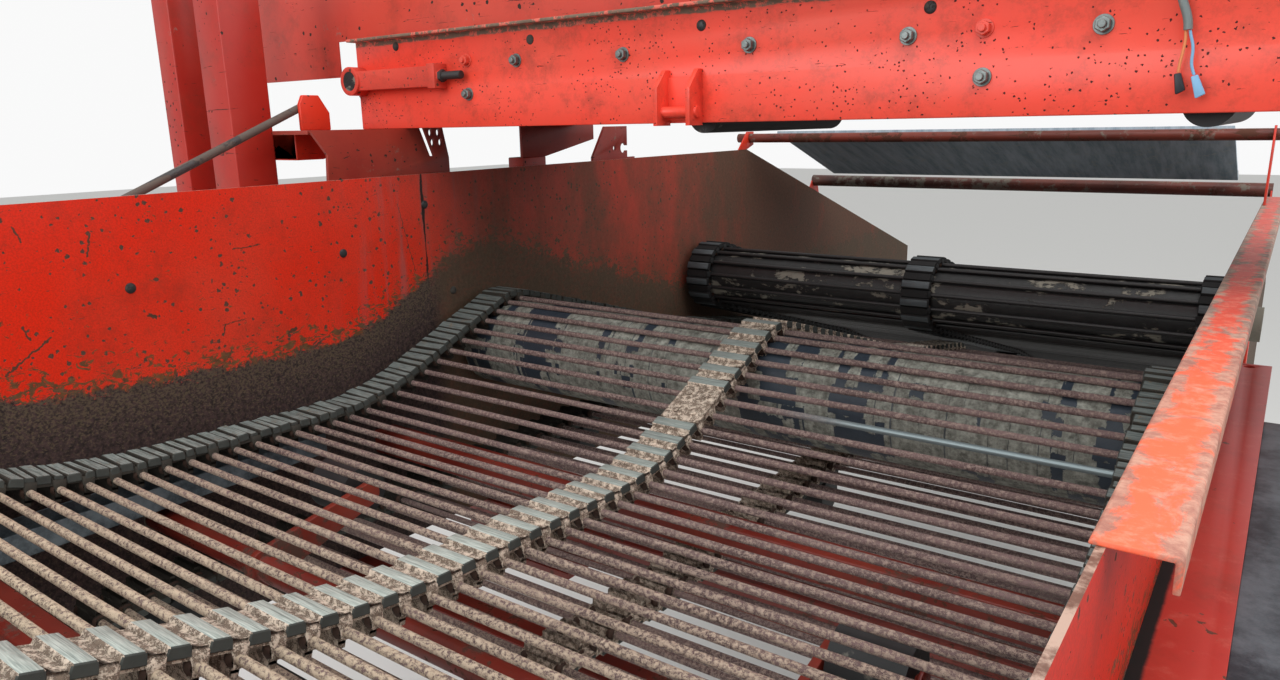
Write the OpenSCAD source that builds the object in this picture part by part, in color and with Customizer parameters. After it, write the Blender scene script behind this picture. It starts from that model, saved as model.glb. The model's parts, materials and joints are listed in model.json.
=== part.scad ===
// Sieving section of a potato harvester: two rod-link webs in a sheet steel trough on its frame,
// with the cross conveyor above. X runs across the machine, Y forward, Z up. The origin is on the
// chassis bolts' plane, in the middle of the rod web, straight below the crest drum.

/* [Rod web] */
// Length of a web's rods, across the machine
web_w = 1450; // [1300:10:1600]
// Pitch of the rods along the web
rod_pitch = 40; // [34:1:50]
// Thickness of a rod
rod_d = 11; // [9:0.5:12]
// Width of one of the three belts
belt_w = 75; // [50:1:90]
// Thickness of a belt between its cleats
belt_t = 7; // [5:0.5:9]
// Height of a belt's cleats
cleat_h = 10; // [4:1:12]
// Length of a cleat at its foot
cleat_foot = 20; // [14:1:24]
// Length of a cleat at its worn top
cleat_top = 14; // [8:1:18]

/* [Drums and rollers] */
// Radius of the crest drum that carries the sieving web
crest_r = 100; // [80:1:110]
// Height of the crest drum's axis
crest_z = 503; // [490:1:515]
// Radius of the sieving web's tail roller
tail_r = 70; // [55:1:80]
// Radius of the feed web's nose drum
nose_r = 77; // [60:1:85]
// Place of the nose drum's axis along the machine
nose_y = 945; // [930:1:960]
// Height of the nose drum's axis
nose_z = 528; // [520:1:540]
// Radius of the feed web's front roller
front_r = 65; // [50:1:75]
// Radius of the rollers under the return runs
return_r = 40; // [30:1:45]
// Radius of the drive sprockets' seats
drive_r = 84; // [78:1:90]
// Number of pockets round a drive sprocket
drive_pockets = 14; // [12:1:16]
// Width of a drive sprocket
sprocket_w = 30; // [20:1:40]
// Radius of the drums' shafts
shaft_r = 20; // [15:1:22]
// Wall of the hollow drums
drum_wall = 8; // [5:1:12]

/* [Trough] */
// Gap between the rods' left ends and the left side panels
left_clear = 24; // [18:1:35]
// Gap between the rods' right ends and the right side panel
right_clear = 9; // [6:1:20]
// Thickness of the side panels
panel_t = 5; // [3:1:6]
// Height of the left panels' top edge over the bolts' plane
left_top = 900; // [860:1:920]
// Height of the right panel's top edge
right_top = 771; // [740:1:790]
// Height of the panels' bottom edge
panel_foot = 95; // [90:1:110]
// Rear end of the trough
trough_rear = -1560; // [-1600:1:-1545]
// Seam between the rear and middle left panels
seam_rear = -175; // [-200:1:-165]
// Seam between the middle and front panels
seam_front = 1265; // [1255:1:1280]
// Front end of the trough
trough_front = 2910; // [2890:1:2950]
// Slope of the feed web and the front panels, in degrees
feed_slope = 17.7; // [16:0.1:18]
// Width of the folded cap on the right panel
cap_w = 46; // [40:1:60]
// Depth of the cap's folded lip
cap_lip = 18; // [8:1:25]
// Rear end of the cap
cap_rear = -991; // [-1100:1:-900]
// Front end of the cap
cap_front = 1500; // [1450:1:1520]
// Width of the outer rail beside the right panel
outer_rail_w = 62; // [50:1:70]
// Height of the outer rail's top
outer_rail_top = 590; // [570:1:600]

/* [Frame] */
// Width and height of the cross beams
beam_s = 80; // [60:1:95]
// Thickness of a foot plate
foot_t = 15; // [10:1:20]
// Distance between the chassis bolts across the machine
bolt_span_x = 1000; // [800:10:1200]
// Distance between the chassis bolts along the machine
bolt_span_y = 160; // [130:5:200]
// Radius of a chassis bolt's hole
bolt_r = 9; // [7:0.5:11]
// Width of the side rails
rail_w = 60; // [40:1:70]
// Height of the side rails
rail_h = 50; // [40:1:54]
// Wall of the square tubes
tube_wall = 5; // [3:0.5:8]
// Side of the large post
post_s = 90; // [80:1:100]
// Side of the small post
small_post_s = 65; // [55:1:80]
// Height of the posts' tops
post_top = 1400; // [1330:5:1500]

/* [Cross conveyor] */
// Place of the conveyor's rear side plate along the machine
conveyor_rear = -200; // [-215:1:-190]
// Width between the conveyor's side plates
conveyor_w = 550; // [500:5:600]
// Overhang of the conveyor's side plates past the left panels
conveyor_over_left = 146; // [135:1:160]
// Overhang of the conveyor's side plates past the right panel
conveyor_over_right = 261; // [255:1:300]
// Height of the side plates' bottom edge
conveyor_foot = 1000; // [990:1:1010]
// Height of a side plate
conveyor_h = 182; // [170:1:200]
// Thickness of a side plate
conveyor_t = 6; // [4:1:8]
// Radius of the conveyor's end rollers
conveyor_roller_r = 50; // [35:1:55]
// Thickness of the conveyor's belt
conveyor_belt_t = 8; // [5:1:10]

/* [Apron] */
// Radius of the upper cross tube
upper_tube_r = 15; // [12:1:18]
// Radius of the lower cross tube
lower_tube_r = 21; // [17:1:24]
// Thickness of the rubber apron
apron_t = 8; // [5:1:10]
// Width of the rubber apron
apron_w = 1300; // [1200:10:1400]

/* [Agitator] */
// Radius of the agitator's rubber wheels
beater_r = 45; // [38:1:48]
// Width of a rubber wheel
beater_w = 90; // [60:5:110]
// From the web's edge in to the middle of the agitator's rubber wheel
beater_inset = 245; // [205:5:285]
// Thickness of an agitator arm
arm_t = 12; // [8:1:16]

/* [Hidden] */
$fn = 48;

red = [0.78, 0.16, 0.09];
worn_red = [0.66, 0.24, 0.16];
dark_rubber = [0.12, 0.12, 0.12];
rod_brown = [0.45, 0.37, 0.33];
belt_grey = [0.50, 0.52, 0.49];
mud_grey = [0.45, 0.44, 0.41];
steel_grey = [0.42, 0.46, 0.50];
wire_orange = [0.80, 0.45, 0.20];
pale_blue = [0.45, 0.65, 0.80];

// Running and seating gaps
seat_gap = 0.1;
run_gap = 0.3;
clear = 5;

// Heights over the rods' centre line
flat_h = rod_d / 2 + seat_gap;
belt_out = flat_h + belt_t;
cleat_out = belt_out + cleat_h;

beam_top = foot_t + beam_s;
rail_top = beam_top + rail_h;
beater_x = web_w / 2 - beater_inset;
left_x = -web_w / 2 - left_clear;
right_x = web_w / 2 + right_clear;
left_out = left_x - panel_t;
right_out = right_x + panel_t;
rails_left = left_out - rail_w;
rails_right = right_out + rail_w;

// The circles that lead the rods' centre line round each web, seen from the right, clockwise.
// Columns: y, z, radius, and 1 where the web wraps round the circle or -1 where it hangs under it.
drive_y = -1507;
drive_z = 545;
tail_y = 1175;
tail_z = 245;
front_y = 2800;
front_z = nose_z - (front_y - nose_y) * tan(feed_slope);
return_ys = [250, -850];
return_z = beam_top + 95;
feed_return_y = 1900;
feed_return_z = 110;
WEB_Y = 0;
WEB_Z = 1;
WEB_R = 2;
WEB_SIDE = 3;
sieve_path = [
    [drive_y, drive_z, drive_r + flat_h, 1],
    [-785, 1563, 1100, -1],
    [-500, 956, 504, -1],
    [0, crest_z, crest_r + flat_h, 1],
    [946, 1378, 1000, -1],
    [tail_y, tail_z, tail_r + flat_h, 1],
    [return_ys[0], return_z, return_r + cleat_out + seat_gap, -1],
    [-300, 9240, 9000, 1],
    [return_ys[1], return_z + 3, return_r + cleat_out + seat_gap, -1],
    [-960, 1150, 900, 1]];
feed_path = [
    [nose_y, nose_z, nose_r + flat_h, 1],
    [front_y, front_z, front_r + flat_h, 1],
    [feed_return_y, feed_return_z, return_r + cleat_out + seat_gap, -1]];

// Shafts that run in housings outside the panels. Columns: y, z, shaft radius, housing radius.
shafts = [
    [drive_y, drive_z, shaft_r, 48],
    [0, crest_z, shaft_r, 48],
    [tail_y, tail_z, shaft_r, 42],
    [nose_y, nose_z, shaft_r, 48],
    [front_y, front_z, shaft_r, 37],
    [return_ys[0], return_z, shaft_r - 6, 30],
    [return_ys[1], return_z + 3, shaft_r - 6, 30],
    [feed_return_y, feed_return_z, shaft_r - 6, 30],
    [-820, 345, shaft_r, 42]];
agitator_row = 8;
housing_t = 32;
flange_t = 10;
flange_r = 20;

// Path of a web: heading of the straight run that leaves circle i, in degrees
function heading(c, i) =
    let (a = c[i], b = c[(i + 1) % len(c)], dy = b[WEB_Y] - a[WEB_Y], dz = b[WEB_Z] - a[WEB_Z])
    atan2(dz, dy) + asin((b[WEB_SIDE] * b[WEB_R] - a[WEB_SIDE] * a[WEB_R]) / norm([dy, dz]));
// Point where a run of heading t touches circle i
function touch(c, i, t) =
    [c[i][WEB_Y] - c[i][WEB_SIDE] * c[i][WEB_R] * sin(t),
     c[i][WEB_Z] + c[i][WEB_SIDE] * c[i][WEB_R] * cos(t)];
// Angle that the web turns through on circle i
function turn(c, i) =
    let (d = (heading(c, (i + len(c) - 1) % len(c)) - heading(c, i)) * c[i][WEB_SIDE])
    d - 360 * floor(d / 360);
function run_length(c, i) =
    norm(touch(c, (i + 1) % len(c), heading(c, i)) - touch(c, i, heading(c, i)));
// Lengths of arc 0, run 0, arc 1, run 1 and so on
function stretches(c) = [for (i = [0 : len(c) - 1])
    each [c[i][WEB_R] * turn(c, i) * PI / 180, run_length(c, i)]];
function sum_to(l, n) = n <= 0 ? 0 : l[n - 1] + sum_to(l, n - 1);
function starts(c) = let (l = stretches(c)) [for (k = [0 : len(l)]) sum_to(l, k)];
// Place and heading on the web at the length s along it: [y, z, heading]
function place(c, st, s) =
    let (j = max([for (k = [0 : len(st) - 2]) if (st[k] <= s) k]),
         i = floor(j / 2), u = s - st[j],
         t_in = heading(c, (i + len(c) - 1) % len(c)),
         t_out = heading(c, i),
         t = j % 2 == 0 ? t_in - c[i][WEB_SIDE] * u / c[i][WEB_R] * 180 / PI : t_out,
         p = touch(c, i, t) + (j % 2 == 0 ? 0 : u) * [cos(t), sin(t)])
    [p[0], p[1], t];
// Places a pitch apart round a web, a whole number of them: the rods at shift 0, and the middles
// between them at shift 0.5
function places(c, shift) =
    let (st = starts(c), whole = st[len(st) - 1], n = round(whole / rod_pitch))
    [for (k = [0 : n - 1]) place(c, st, (k + shift) * whole / n)];
function along(t) = [cos(t), sin(t)];
function outward(t) = [-sin(t), cos(t)];
function cross2(a, b) = a[0] * b[1] - a[1] * b[0];
// Corner between the belt's flats over two neighbouring rods a and b, at height h over the rods,
// or two corners where the flats don't meet between the rods
function corners(a, b, h) =
    let (pa = [a[0], a[1]] + h * outward(a[2]), pb = [b[0], b[1]] + h * outward(b[2]),
         gap = norm(pb - pa), bend = cross2(along(a[2]), along(b[2])),
         reach = abs(bend) < 0.0002 ? gap / 2 : cross2(pb - pa, along(b[2])) / bend)
    reach > gap / 5 && reach < gap * 4 / 5
        ? [pa + reach * along(a[2])]
        : [pa + gap / 4 * along(a[2]), pb - gap / 4 * along(b[2])];

sieve_rods = places(sieve_path, 0);
sieve_cleats = places(sieve_path, 0.5);
feed_rods = places(feed_path, 0);
feed_cleats = places(feed_path, 0.5);
belt_xs = [-(web_w - belt_w) / 2, 0, (web_w - belt_w) / 2];

// Extrudes an outline drawn in the Y-Z plane along X, from x0 over the width w
module across(x0, w) {
    translate([x0, 0, 0]) rotate([90, 0, 90]) linear_extrude(w) children();
}

module round_bar(x0, w, y, z, r) {
    across(x0, w) translate([y, z]) circle(r);
}

// Square tube between x0 and x1 along X, its lower rear corner at y, z
module tube_x(x0, x1, y, z, wide, high) {
    across(x0, x1 - x0) translate([y, z]) difference() {
        square([wide, high]);
        translate([tube_wall, tube_wall]) square([wide - 2 * tube_wall, high - 2 * tube_wall]);
    }
}

module rod_set(rods) {
    color(rod_brown) across(-web_w / 2, web_w)
        for (p = rods) translate([p[0], p[1]]) rotate(p[2]) circle(rod_d / 2 / cos(30), $fn = 6);
}

// One belt's outline: flats that seat on the rods, and a cleat between each two rods
module belt_outline(rods, cleats) {
    n = len(rods);
    difference() {
        polygon([for (c = cleats)
            let (foot = [c[0], c[1]] + belt_out * outward(c[2]), top = foot + cleat_h * outward(c[2]))
            each [foot - cleat_foot / 2 * along(c[2]), top - cleat_top / 2 * along(c[2]),
                  top + cleat_top / 2 * along(c[2]), foot + cleat_foot / 2 * along(c[2])]]);
        polygon([for (k = [0 : n - 1]) each corners(rods[k], rods[(k + 1) % n], flat_h)]);
    }
}

module belt_set(rods, cleats) {
    color(belt_grey) for (x = belt_xs) across(x - belt_w / 2, belt_w) belt_outline(rods, cleats);
}

module sieve_web_rods() { rod_set(sieve_rods); }
module sieve_web_belts() { belt_set(sieve_rods, sieve_cleats); }
module feed_web_rods() { rod_set(feed_rods); }
module feed_web_belts() { belt_set(feed_rods, feed_cleats); }

// Holes in the panels where the shafts pass
module shaft_holes() {
    for (s = shafts) translate([s[0], s[1]]) circle(s[2] + clear);
}

module panel(x0, outline) {
    across(x0, panel_t) difference() {
        polygon(outline);
        shaft_holes();
    }
}

feed_drop = tan(feed_slope);
front_foot = -190;
front_knee = 1500;
slope_foot = (panel_foot - front_foot) / (trough_front - front_knee);

module left_panel_rear() {
    color(red) panel(left_out, [[trough_rear, panel_foot], [seam_rear - seat_gap, panel_foot],
        [seam_rear - seat_gap, left_top + 3], [trough_rear, left_top]]);
}

module left_panel_mid() {
    color(red) panel(left_out, [[seam_rear + seat_gap, panel_foot], [seam_front - seat_gap, panel_foot],
        [seam_front - seat_gap, left_top + 8], [seam_rear + seat_gap, left_top + 3]]);
}

module left_panel_front() {
    color(worn_red) panel(left_out, [[seam_front + seat_gap, panel_foot], [front_knee, panel_foot],
        [trough_front, front_foot],
        [trough_front, left_top + 8 - (trough_front - seam_front) * feed_drop],
        [seam_front + seat_gap, left_top + 8 - seat_gap * feed_drop]]);
}

module right_panel() {
    color(red) panel(right_x, [[trough_rear, panel_foot], [seam_front - seat_gap, panel_foot],
        [seam_front - seat_gap, right_top], [trough_rear, right_top]]);
}

module right_panel_front() {
    color(worn_red) panel(right_x, [[seam_front + seat_gap, panel_foot], [front_knee, panel_foot],
        [trough_front, front_foot],
        [trough_front, right_top - (trough_front - cap_front) * feed_drop],
        [cap_front, right_top], [seam_front + seat_gap, right_top]]);
}

// Cap folded over the right panel's edge, with a lip down its outer side
module right_cap() {
    color(worn_red) translate([0, cap_front, right_top]) rotate([90, 0, 0])
        linear_extrude(cap_front - cap_rear)
        polygon([[right_x - cap_t, 0], [right_x + cap_w - 2 * cap_t, 0],
            [right_x + cap_w - 2 * cap_t, -cap_lip], [right_x + cap_w - cap_t, -cap_lip],
            [right_x + cap_w - cap_t, cap_t / 2], [right_x + cap_w - 3 * cap_t / 2, cap_t],
            [right_x - cap_t / 2, cap_t], [right_x - cap_t, cap_t / 2]]);
}

side_rear = -1400;
// Channel rail on the outside of the right panel, with a bolt hole near its front end
module outer_rail() {
    rail_front = 272;
    rail_depth = 70;
    color(red) difference() {
        translate([right_out, side_rear, outer_rail_top - rail_depth])
            cube([outer_rail_w, rail_front - side_rear, rail_depth]);
        translate([right_out + tube_wall, side_rear - 1, outer_rail_top - rail_depth - 1])
            cube([outer_rail_w - 2 * tube_wall, rail_front - side_rear + 2, rail_depth - tube_wall + 1]);
        translate([right_out + outer_rail_w / 2, rail_front - 22, outer_rail_top - rail_depth])
            cylinder(r = 8, h = rail_depth + 1);
        // room for the crest drum's housing
        translate([right_out - 1, 0, crest_z]) rotate([0, 90, 0])
            cylinder(r = shafts[1][3] + flange_r / 2 + clear, h = outer_rail_w + 2);
    }
}

// Grey skirt plate beside the outer rail
skirt_w = 120;
module side_skirt() {
    skirt_t = 5;
    skirt_front = 58;
    color(steel_grey) translate([right_out + outer_rail_w, side_rear, outer_rail_top - 40]) {
        cube([skirt_w, skirt_front - side_rear, skirt_t]);
        translate([0, 0, -25]) cube([skirt_t, skirt_front - side_rear, 25]);
    }
}

// Straps over the seams, on the outside of the panels
module splice_straps() {
    strap_w = 70;
    strap_t = 6;
    color(red) {
        for (seam = [seam_rear, seam_front]) translate([left_out - strap_t, seam - strap_w / 2, rail_top])
            cube([strap_t, strap_w, left_top - rail_top - 20]);
        translate([right_out, seam_front - strap_w / 2, rail_top])
            cube([strap_t, strap_w, right_top - rail_top - 40]);
    }
}

module rail_y(x0, y0, y1, z0, wide, high) {
    translate([x0, y1, z0]) rotate([90, 0, 0]) linear_extrude(y1 - y0) difference() {
        square([wide, high]);
        translate([tube_wall, tube_wall]) square([wide - 2 * tube_wall, high - 2 * tube_wall]);
    }
}

module side_rails() {
    color(red) {
        rail_y(rails_left, trough_rear, front_knee, beam_top, rail_w, rail_h);
        rail_y(right_out, trough_rear, front_knee, beam_top, rail_w, rail_h);
    }
}

post_y = -430;
post_xs = [left_out - 246, left_out - 446];
right_post_x = right_out + outer_rail_w + skirt_w + clear + small_post_s / 2;
post_margin = 20;
beam_ys = [post_y, 0, 1100];

module cross_beams() {
    color(red) for (y = beam_ys)
        tube_x(y == post_y ? post_xs[1] - small_post_s / 2 - post_margin : rails_left,
            y == post_y ? right_post_x + small_post_s / 2 + post_margin : rails_right,
            y - beam_s / 2, foot_t, beam_s, beam_s);
}

module foot_plates() {
    foot_w = 140;
    foot_l = bolt_span_y + 60;
    color(red) for (side = [-1, 1]) translate([side * bolt_span_x / 2, 0, 0]) difference() {
        translate([-foot_w / 2, -foot_l / 2, 0]) cube([foot_w, foot_l, foot_t]);
        for (end = [-1, 1]) translate([0, end * bolt_span_y / 2, -1]) cylinder(r = bolt_r, h = foot_t + 2);
    }
}

// Sloping hollow rails along the outside of the front panels
module feed_rail_outline(inset) {
    drop = (trough_front - front_knee) * slope_foot;
    polygon([[front_knee + seat_gap - inset, beam_top + inset], [trough_front + inset, beam_top - drop + inset],
        [trough_front + inset, rail_top - drop - inset], [front_knee + seat_gap - inset, rail_top - inset]]);
}
module feed_rails() {
    color(red) for (x0 = [rails_left, right_out]) difference() {
        across(x0, rail_w) feed_rail_outline(0);
        across(x0 + tube_wall, rail_w - 2 * tube_wall) feed_rail_outline(tube_wall);
    }
}

// Tubes between the panels, inside the web loops. Columns: y, z.
cross_tubes = [[-1180, 450], [-330, 345], [560, 300], [1560, 332], [2350, 80]];
cross_tube_s = 50;
module inner_cross_tubes() {
    color(red) for (t = cross_tubes)
        tube_x(left_x, right_x, t[0] - cross_tube_s / 2, t[1] - cross_tube_s / 2, cross_tube_s, cross_tube_s);
}

// Grey channel along the left panel, under the web's edge
module edge_channel() {
    channel_w = 70;
    channel_h = 40;
    channel_l = 580;
    channel_front = -520;
    channel_z = 385;
    sheet = 4;
    color(steel_grey) translate([left_x, channel_front, channel_z]) rotate([90, 0, 0])
        linear_extrude(channel_l) difference() {
        square([channel_w, channel_h]);
        translate([sheet, sheet]) square([channel_w - 2 * sheet, channel_h]);
    }
}

module bearing_housings() {
    color(mud_grey) for (s = shafts) for (side = [-1, 1]) difference() {
        union() {
            round_bar(side < 0 ? left_out - flange_t : right_out, flange_t, s[0], s[1], s[3] + flange_r / 2);
            round_bar(side < 0 ? left_out - housing_t : right_out + flange_t, housing_t - flange_t,
                s[0], s[1], s[3] - 8);
        }
        round_bar(side < 0 ? left_out - housing_t - 1 : right_out - 1, housing_t + 2, s[0], s[1], s[2] + run_gap);
    }
}

shaft_left = left_out - housing_t;
shaft_right = right_out + housing_t;
drum_left = -web_w / 2 - clear;
drum_right = right_x - clear;
drum_disc = 60;

// Hollow drum on a through shaft, with a disc at each end
module drum(s, r) {
    difference() {
        round_bar(drum_left, drum_right - drum_left, s[0], s[1], r);
        round_bar(drum_left + drum_disc, drum_right - drum_left - 2 * drum_disc, s[0], s[1], r - drum_wall);
    }
    round_bar(shaft_left, shaft_right - shaft_left, s[0], s[1], s[2]);
}

module crest_drum() { color(mud_grey) drum(shafts[1], crest_r); }
module tail_roller() { color(mud_grey) drum(shafts[2], tail_r); }
module nose_drum() { color(mud_grey) drum(shafts[3], nose_r); }
module feed_front_roller() { color(mud_grey) drum(shafts[4], front_r); }
module return_rollers() {
    color(dark_rubber) for (i = [5, 6, 7]) {
        round_bar(shaft_left, shaft_right - shaft_left, shafts[i][0], shafts[i][1], shafts[i][2]);
        for (x = belt_xs) round_bar(max(x - belt_w / 2, drum_left), belt_w, shafts[i][0], shafts[i][1], return_r);
    }
}

stub_w = 90;
stub_r = shaft_r - 2.5;
module drive_shaft() {
    color(steel_grey) {
        round_bar(shaft_left, shaft_right - shaft_left, drive_y, drive_z, shaft_r);
        round_bar(shaft_right, stub_w, drive_y, drive_z, stub_r);
    }
}

// Sprockets with a pocket for each rod, beside the three belts
module drive_sprockets() {
    beside = belt_w / 2 + 2 * sprocket_w;
    xs = [belt_xs[0] + beside, -beside, beside, belt_xs[2] - beside];
    seated = sieve_rods[3];
    at = atan2(seated[1] - drive_z, seated[0] - drive_y);
    color(dark_rubber) for (x = xs) across(x - sprocket_w / 2, sprocket_w) translate([drive_y, drive_z])
        difference() {
            circle(drive_r + flat_h);
            for (k = [0 : drive_pockets - 1]) rotate(at + k * 360 / drive_pockets)
                translate([drive_r + flat_h, 0]) circle(rod_d / 2 + 3);
            circle(shaft_r + seat_gap);
        }
}

upper_tube_y = 1290;
upper_tube_z = 945;
lower_tube_y = 1812;
lower_tube_z = 771;
module upper_cross_tube() {
    over_left = 40;
    over_right = 60;
    color(worn_red) round_bar(left_out - over_left, right_out - left_out + over_left + over_right,
        upper_tube_y, upper_tube_z, upper_tube_r);
}
module lower_cross_tube() {
    color(worn_red) round_bar(left_out, right_out - left_out, lower_tube_y, lower_tube_z, lower_tube_r);
}

// Rubber apron from the upper tube down to the lower tube
apron_dir = atan2(lower_tube_z - upper_tube_z, lower_tube_y - upper_tube_y);
apron_l = norm([lower_tube_y - upper_tube_y, lower_tube_z - upper_tube_z]) - 50;
module rubber_apron() {
    color(dark_rubber) across(-apron_w / 2, apron_w)
        translate([upper_tube_y, upper_tube_z]) rotate(apron_dir)
        translate([0, upper_tube_r + run_gap]) square([apron_l, apron_t]);
}
module apron_strip() {
    strip_l = 35;
    strip_t = 5;
    color(worn_red) across(-apron_w / 2, apron_w)
        translate([upper_tube_y, upper_tube_z]) rotate(apron_dir)
        translate([apron_l - 1.7 * strip_l, upper_tube_r + 2 * run_gap + apron_t]) square([strip_l, strip_t]);
}

// Plates on the panels' edges that hold the cross tubes. Columns: left side of the plate, height
// of the edge under the upper tube, height of the sloping edge at the lower tube.
cap_t = 4;
bracket_rows = [
    [left_out, left_top + 8, left_top + 8 - (lower_tube_y - seam_front) * feed_drop],
    [right_x, right_top + cap_t, right_top - (lower_tube_y - cap_front) * feed_drop]];
module tube_brackets() {
    ear = 22;
    color(red) for (b = bracket_rows) across(b[0], panel_t) difference() {
        union() {
            polygon([[upper_tube_y - 80, b[1]], [upper_tube_y - 25, b[1]], [upper_tube_y + ear, upper_tube_z - ear],
                [upper_tube_y + ear, upper_tube_z + ear], [upper_tube_y - ear, upper_tube_z + ear]]);
            polygon([[lower_tube_y - 40, b[2] + 40 * feed_drop], [lower_tube_y + 40, b[2] - 40 * feed_drop],
                [lower_tube_y + ear, lower_tube_z], [lower_tube_y - ear, lower_tube_z]]);
        }
        translate([upper_tube_y, upper_tube_z]) circle(upper_tube_r + seat_gap);
        translate([lower_tube_y, lower_tube_z]) circle(lower_tube_r + seat_gap);
    }
}

conveyor_front = conveyor_rear + conveyor_w;
conveyor_left = left_out - conveyor_over_left;
conveyor_right = right_out + conveyor_over_right;
lip_w = 25;
take_up_z = 1101;
module side_plate(y0, out) {
    color(red) translate([conveyor_left, y0, conveyor_foot]) difference() {
        union() {
            cube([conveyor_right - conveyor_left, conveyor_t, conveyor_h]);
            translate([0, out < 0 ? -lip_w : 0, conveyor_h])
                cube([conveyor_right - conveyor_left, lip_w + conveyor_t, conveyor_t]);
        }
        for (x = conveyor_xs) translate([x - conveyor_left, -1, take_up_z - conveyor_foot])
            rotate([-90, 0, 0]) cylinder(r = shaft_r + clear, h = conveyor_t + 2);
    }
}
module conveyor_rear_plate() { side_plate(conveyor_rear, -1); }
module conveyor_front_plate() { side_plate(conveyor_front, 1); }

// Sheets that stand on the side plates' flanges, with a deeper end panel on the left
hood_t = 4;
hood_h = 150;
module conveyor_hood() {
    hood_foot = conveyor_foot + conveyor_h + conveyor_t;
    over = 60;
    end_w = 290;
    end_drop = 75;
    color(worn_red) for (y = [conveyor_rear, conveyor_front + conveyor_t - hood_t]) {
        translate([conveyor_left - over, y, hood_foot])
            cube([conveyor_right - conveyor_left + over, hood_t, hood_h]);
        translate([conveyor_left - over - end_w, y, hood_foot - end_drop])
            cube([end_w, hood_t, hood_h + end_drop]);
    }
}

conveyor_xs = [conveyor_left + 12, conveyor_right - 90];
idler_xs = [-25, 700];
bearing_reach = 34;
module xz_bar(x, y0, y1, z, r) {
    translate([x, y1, z]) rotate([90, 0, 0]) cylinder(r = r, h = y1 - y0);
}
module conveyor_rollers() {
    color(mud_grey) for (x = conveyor_xs) {
        xz_bar(x, conveyor_rear + 20, conveyor_front - 20, take_up_z, conveyor_roller_r);
        xz_bar(x, conveyor_rear - bearing_reach, conveyor_front + conveyor_t + bearing_reach, take_up_z, shaft_r);
    }
}
// Outline round both end rollers
module stadium(r) {
    for (x = conveyor_xs) translate([x, take_up_z]) circle(r);
    translate([conveyor_xs[0], take_up_z - r]) square([conveyor_xs[1] - conveyor_xs[0], 2 * r]);
}
module conveyor_belt() {
    edge = 25;
    color(dark_rubber) translate([0, conveyor_front - edge, 0]) rotate([90, 0, 0])
        linear_extrude(conveyor_w - conveyor_t - 2 * edge) difference() {
            stadium(conveyor_roller_r + conveyor_belt_t + seat_gap);
            stadium(conveyor_roller_r + seat_gap);
        }
}
module conveyor_idlers() {
    idler_r = 30;
    pin_r = 8;
    idler_z = take_up_z - conveyor_roller_r - conveyor_belt_t - 2 * seat_gap - idler_r;
    color(dark_rubber) for (x = idler_xs) {
        xz_bar(x, conveyor_rear + conveyor_t + 19, conveyor_front - 20, idler_z, idler_r);
        xz_bar(x, conveyor_rear + conveyor_t, conveyor_front, idler_z, pin_r);
    }
}

// Take-up of the left end roller: bearing cap, slide box and threaded bolt
module take_up() {
    box_w = 270;
    box_h = 40;
    cap_r = shaft_r + 10;
    cap_over = 6;
    end_block = 22;
    bolt_r = 8;
    bolt_l = 60;
    mid_y = conveyor_rear - bearing_reach / 2;
    color(worn_red) difference() {
        union() {
            xz_bar(conveyor_xs[0], conveyor_rear - bearing_reach, conveyor_rear, take_up_z, cap_r);
            translate([conveyor_xs[0], conveyor_rear - bearing_reach + cap_over, take_up_z - box_h / 2])
                cube([box_w, bearing_reach - cap_over, box_h]);
            // thicker block at the box's end, with the nut and the threaded bolt
            translate([conveyor_xs[0] + box_w - end_block, conveyor_rear - bearing_reach,
                take_up_z - box_h / 2 - 4]) cube([end_block, bearing_reach, box_h + 8]);
            translate([conveyor_xs[0] + box_w, mid_y, take_up_z]) rotate([0, 90, 0]) {
                cylinder(r = 1.6 * bolt_r, h = bolt_r + 2, $fn = 6);
                cylinder(r = bolt_r, h = bolt_l);
            }
        }
        xz_bar(conveyor_xs[0], conveyor_rear - bearing_reach - 1, conveyor_rear + 1, take_up_z, shaft_r + seat_gap);
    }
}
// Bearings of the other roller ends. Columns: x, y of the plate's side, direction out.
end_bearings = [[conveyor_xs[1], conveyor_rear, -1], [conveyor_xs[0], conveyor_front + conveyor_t, 1],
    [conveyor_xs[1], conveyor_front + conveyor_t, 1]];
module conveyor_bearings() {
    color(mud_grey) for (b = end_bearings) difference() {
        union() {
            xz_bar(b[0], min(b[1], b[1] + b[2] * bearing_reach), max(b[1], b[1] + b[2] * bearing_reach),
                take_up_z, shaft_r + 14);
            xz_bar(b[0], min(b[1], b[1] + b[2] * flange_t), max(b[1], b[1] + b[2] * flange_t),
                take_up_z, shaft_r + 30);
        }
        xz_bar(b[0], b[1] - bearing_reach - 1, b[1] + bearing_reach + 1, take_up_z, shaft_r + seat_gap);
    }
}
// Clevis on the rear plate: two ears with sloping tops, a back plate between them and a pin
module clevis_bracket() {
    ear_t = 8;
    ear_d = 40;
    ear_h = 90;
    ear_foot = conveyor_foot - 4;
    left = -84;
    inner_w = 56;
    back_t = 5;
    pin_r = 9;
    color(red) {
        for (x = [left, left + ear_t + inner_w]) across(x, ear_t) polygon([
            [conveyor_rear, ear_foot], [conveyor_rear - ear_d, ear_foot],
            [conveyor_rear - ear_d, ear_foot + ear_h * 2 / 3], [conveyor_rear - ear_d / 3, ear_foot + ear_h],
            [conveyor_rear, ear_foot + ear_h]]);
        translate([left + ear_t, conveyor_rear - back_t, ear_foot + 8]) cube([inner_w, back_t, ear_h - 20]);
        round_bar(left - 4, inner_w + 2 * ear_t + 8, conveyor_rear - ear_d / 2, ear_foot + 22, pin_r);
    }
}

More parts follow.
